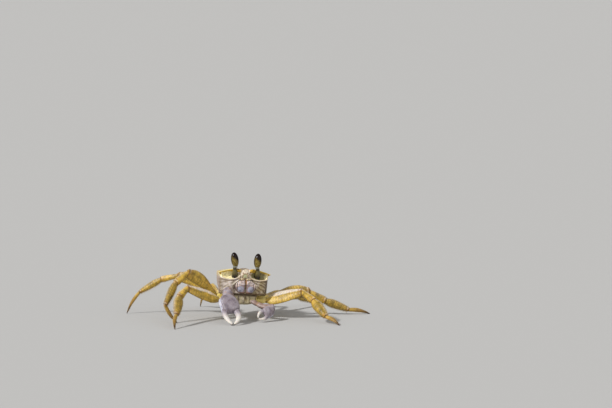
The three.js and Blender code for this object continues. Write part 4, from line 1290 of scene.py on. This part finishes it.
for hand, claw in CLAWS.items():
    arm_size, size = claw["arm_size"], claw["hand_size"]
    root = body_in_crab @ Vector(claw["root"])
    elbow, wrist, palm_at, point = [Vector(claw[k]) for k in ("elbow", "wrist", "hand", "point")]
    palm_up = Vector(claw["palm_up"])

    def claw_colour(p, n, pale=0.0):
        blot = noise.noise(p * 0.3 + Vector((0, size * 5, 0))) + 0.5 * noise.noise(p * 0.9)
        colour = mixed(CLAW_LILAC, CLAW_WHITE, 0.4 + 0.7 * blot + pale)
        return mixed(colour, CLAW_SHADE, 0.4 * smooth(0.1, 0.6, -blot))

    arm_end = wrist + (wrist - elbow).normalized() * 1.2

    def arm_thick(t):
        waist = 1 - 0.16 * hill(t, 0.3, 0.035)
        return arm_size * arm_radius(t) * waist * max(rounded(t, -1, 1.01, 0.06), 0.05)

    def arm_colour(p, n):
        waist = hill((p - root).length / (elbow - root).length, 0.62, 0.07)
        return mixed(claw_colour(p, n), CLAW_RUST, max(0.35, 0.8 * waist))

    arm = rod([root, elbow, arm_end], arm_thick, 48, 90, edges=0.09)
    relief(arm, beads(1.0, 0.15, lambda p: 1))
    paint(arm, arm_colour)
    piece(f"upper_arm_{hand}", arm, crab_frame, claw_material, "claw_shell", f"arm_{hand}")

    wrist_way = (palm_at - wrist).normalized()
    wrist_length = (palm_at - wrist).length

    def wrist_point(s, a):
        x = WRIST_ROOT + (wrist_length + 3) * s
        full = arm_size * wrist_half(x / wrist_length)
        full *= max(rounded(x, WRIST_ROOT, wrist_length + 1.4, 1.8), 0.03)
        return Vector((x, full * math.sin(a), 0.8 * full * math.cos(a)))

    def wrist_colour(p, n):
        return mixed(claw_colour(p, n, 0.25), CLAW_RUST, 0.35 * smooth(0.1, 0.5, noise.noise(p * 0.5)))

    knuckle = shaped(40, 40, wrist_point)
    relief(knuckle, beads(0.9, 0.16, lambda p: smooth(0, 1, p.x)))
    paint(knuckle, wrist_colour)
    place = crab_frame @ limb_frame(wrist, wrist_way, palm_up)
    piece(f"knuckle_{hand}", knuckle, place, claw_material, "claw_shell", f"wrist_{hand}")

    def hand_colour(p, n):
        palm = on_palm(p)
        return coated(
            claw_colour(p, n, 0.2 * smooth(0, 5, p.y)),
            (CLAW_WHITE, 0.6 * (fade(0.1, 0.4, to_grain(p)) * palm)),
            (CLAW_SHADE, 0.5 * hill(n.y, -0.35, 0.25) * palm),
            # Painted highlight: bluish white along the palm's edge that, on the right claw, faces the light.
            (CLAW_BLUE_HIGHLIGHT, 0.85 * smooth(0.6, 0.95, -n.y) * palm),
            (TOOTH_WHITE, 0.8 * smooth(13, 19, p.x)),
        )

    place = crab_frame @ limb_frame(palm_at, (point - palm_at).normalized(), palm_up) @ Matrix.Scale(size, 4)
    moving = fused(claw_finger(MOVING_FINGER, -1), grain=0.17, ease=2)
    room = rod(MOVING_FINGER[0], finger_radius(2.55, 0.7), 20, 30, 0.8)
    palm = fused([shaped(56, 50, palm_point), *claw_finger(FIXED_FINGER, 1)], [room], grain=0.2, ease=2)
    relief(palm, beads(1.0, 0.2, on_palm))
    relief(moving, beads(0.8, 0.08, lambda p: fade(13, 17, p.x)))
    paint(palm, hand_colour)
    paint(moving, hand_colour)
    piece(f"palm_and_finger_{hand}", palm, place, claw_material, "claw_shell", f"palm_{hand}")
    piece(f"hinged_finger_{hand}", moving, place, claw_material, "claw_shell", f"finger_{hand}")


# ---- Floor, light and camera ----
# A plain pale floor that fills the view, a soft sun from high on the left and an even sky. The
# camera is a long lens a little above the crab's eyes.
HALF_FLOOR = 30
floor_bm = bmesh.new()
bmesh.ops.create_grid(floor_bm, x_segments=1, y_segments=1, size=HALF_FLOOR)
floor = as_object("floor", floor_bm)
# A matt floor, which takes the shadow and shows nothing else.
floor_material, tree = bare_material("plain_floor")
surface = node(tree, "ShaderNodeBsdfPrincipled", {"Base Color": (*linear("#B6B5B3"), 1), "Roughness": 0.9})
node(tree, "ShaderNodeOutputMaterial", {"Surface": (surface, "BSDF")})
floor.data.materials.append(floor_material)

world = bpy.data.worlds.new("even_sky")
world.use_nodes = True
sky = world.node_tree.nodes["Background"].inputs
sky["Color"].default_value = (1, 1, 1, 1)
sky["Strength"].default_value = 0.45
bpy.context.scene.world = world


def sun(name, way, strength, spread):
    """A sun that shines along way, spread degrees wide."""
    data = bpy.data.lights.new(name, "SUN")
    data.energy, data.angle = strength, math.radians(spread)
    made = bpy.data.objects.new(name, data)
    made.rotation_euler = Vector(way).to_track_quat("-Z", "Y").to_euler()
    bpy.context.scene.collection.objects.link(made)


sun("key", (0.69, 0.34, -0.64), 3.0, 6)
sun("fill", (-0.3, 0.9, -0.3), 0.6, 60)

AZIMUTH, ELEVATION = math.radians(-12), math.radians(7)
back = Vector((math.sin(AZIMUTH) * math.cos(ELEVATION), -math.cos(AZIMUTH) * math.cos(ELEVATION),
               math.sin(ELEVATION)))
right = Vector((math.cos(AZIMUTH), math.sin(AZIMUTH), 0))
above = back.cross(right)
LENS, DISTANCE = 400, 5.7
AIM_RIGHT, AIM_ABOVE = 0.0545, 0.0947  # from the middle of the crab on the floor to the middle of the view
camera_data = bpy.data.cameras.new("camera")
camera_data.lens, camera_data.sensor_width = LENS, 36
camera_data.clip_start, camera_data.clip_end = 0.1, 100
camera = bpy.data.objects.new("camera", camera_data)
aim = Vector((to_middle.x, to_middle.y, 0)) + right * AIM_RIGHT + above * AIM_ABOVE
camera.location = aim + back * DISTANCE
camera.rotation_euler = (-back).to_track_quat("-Z", "Y").to_euler()
bpy.context.scene.collection.objects.link(camera)
bpy.context.scene.camera = camera
bpy.context.scene.view_settings.view_transform = "Standard"
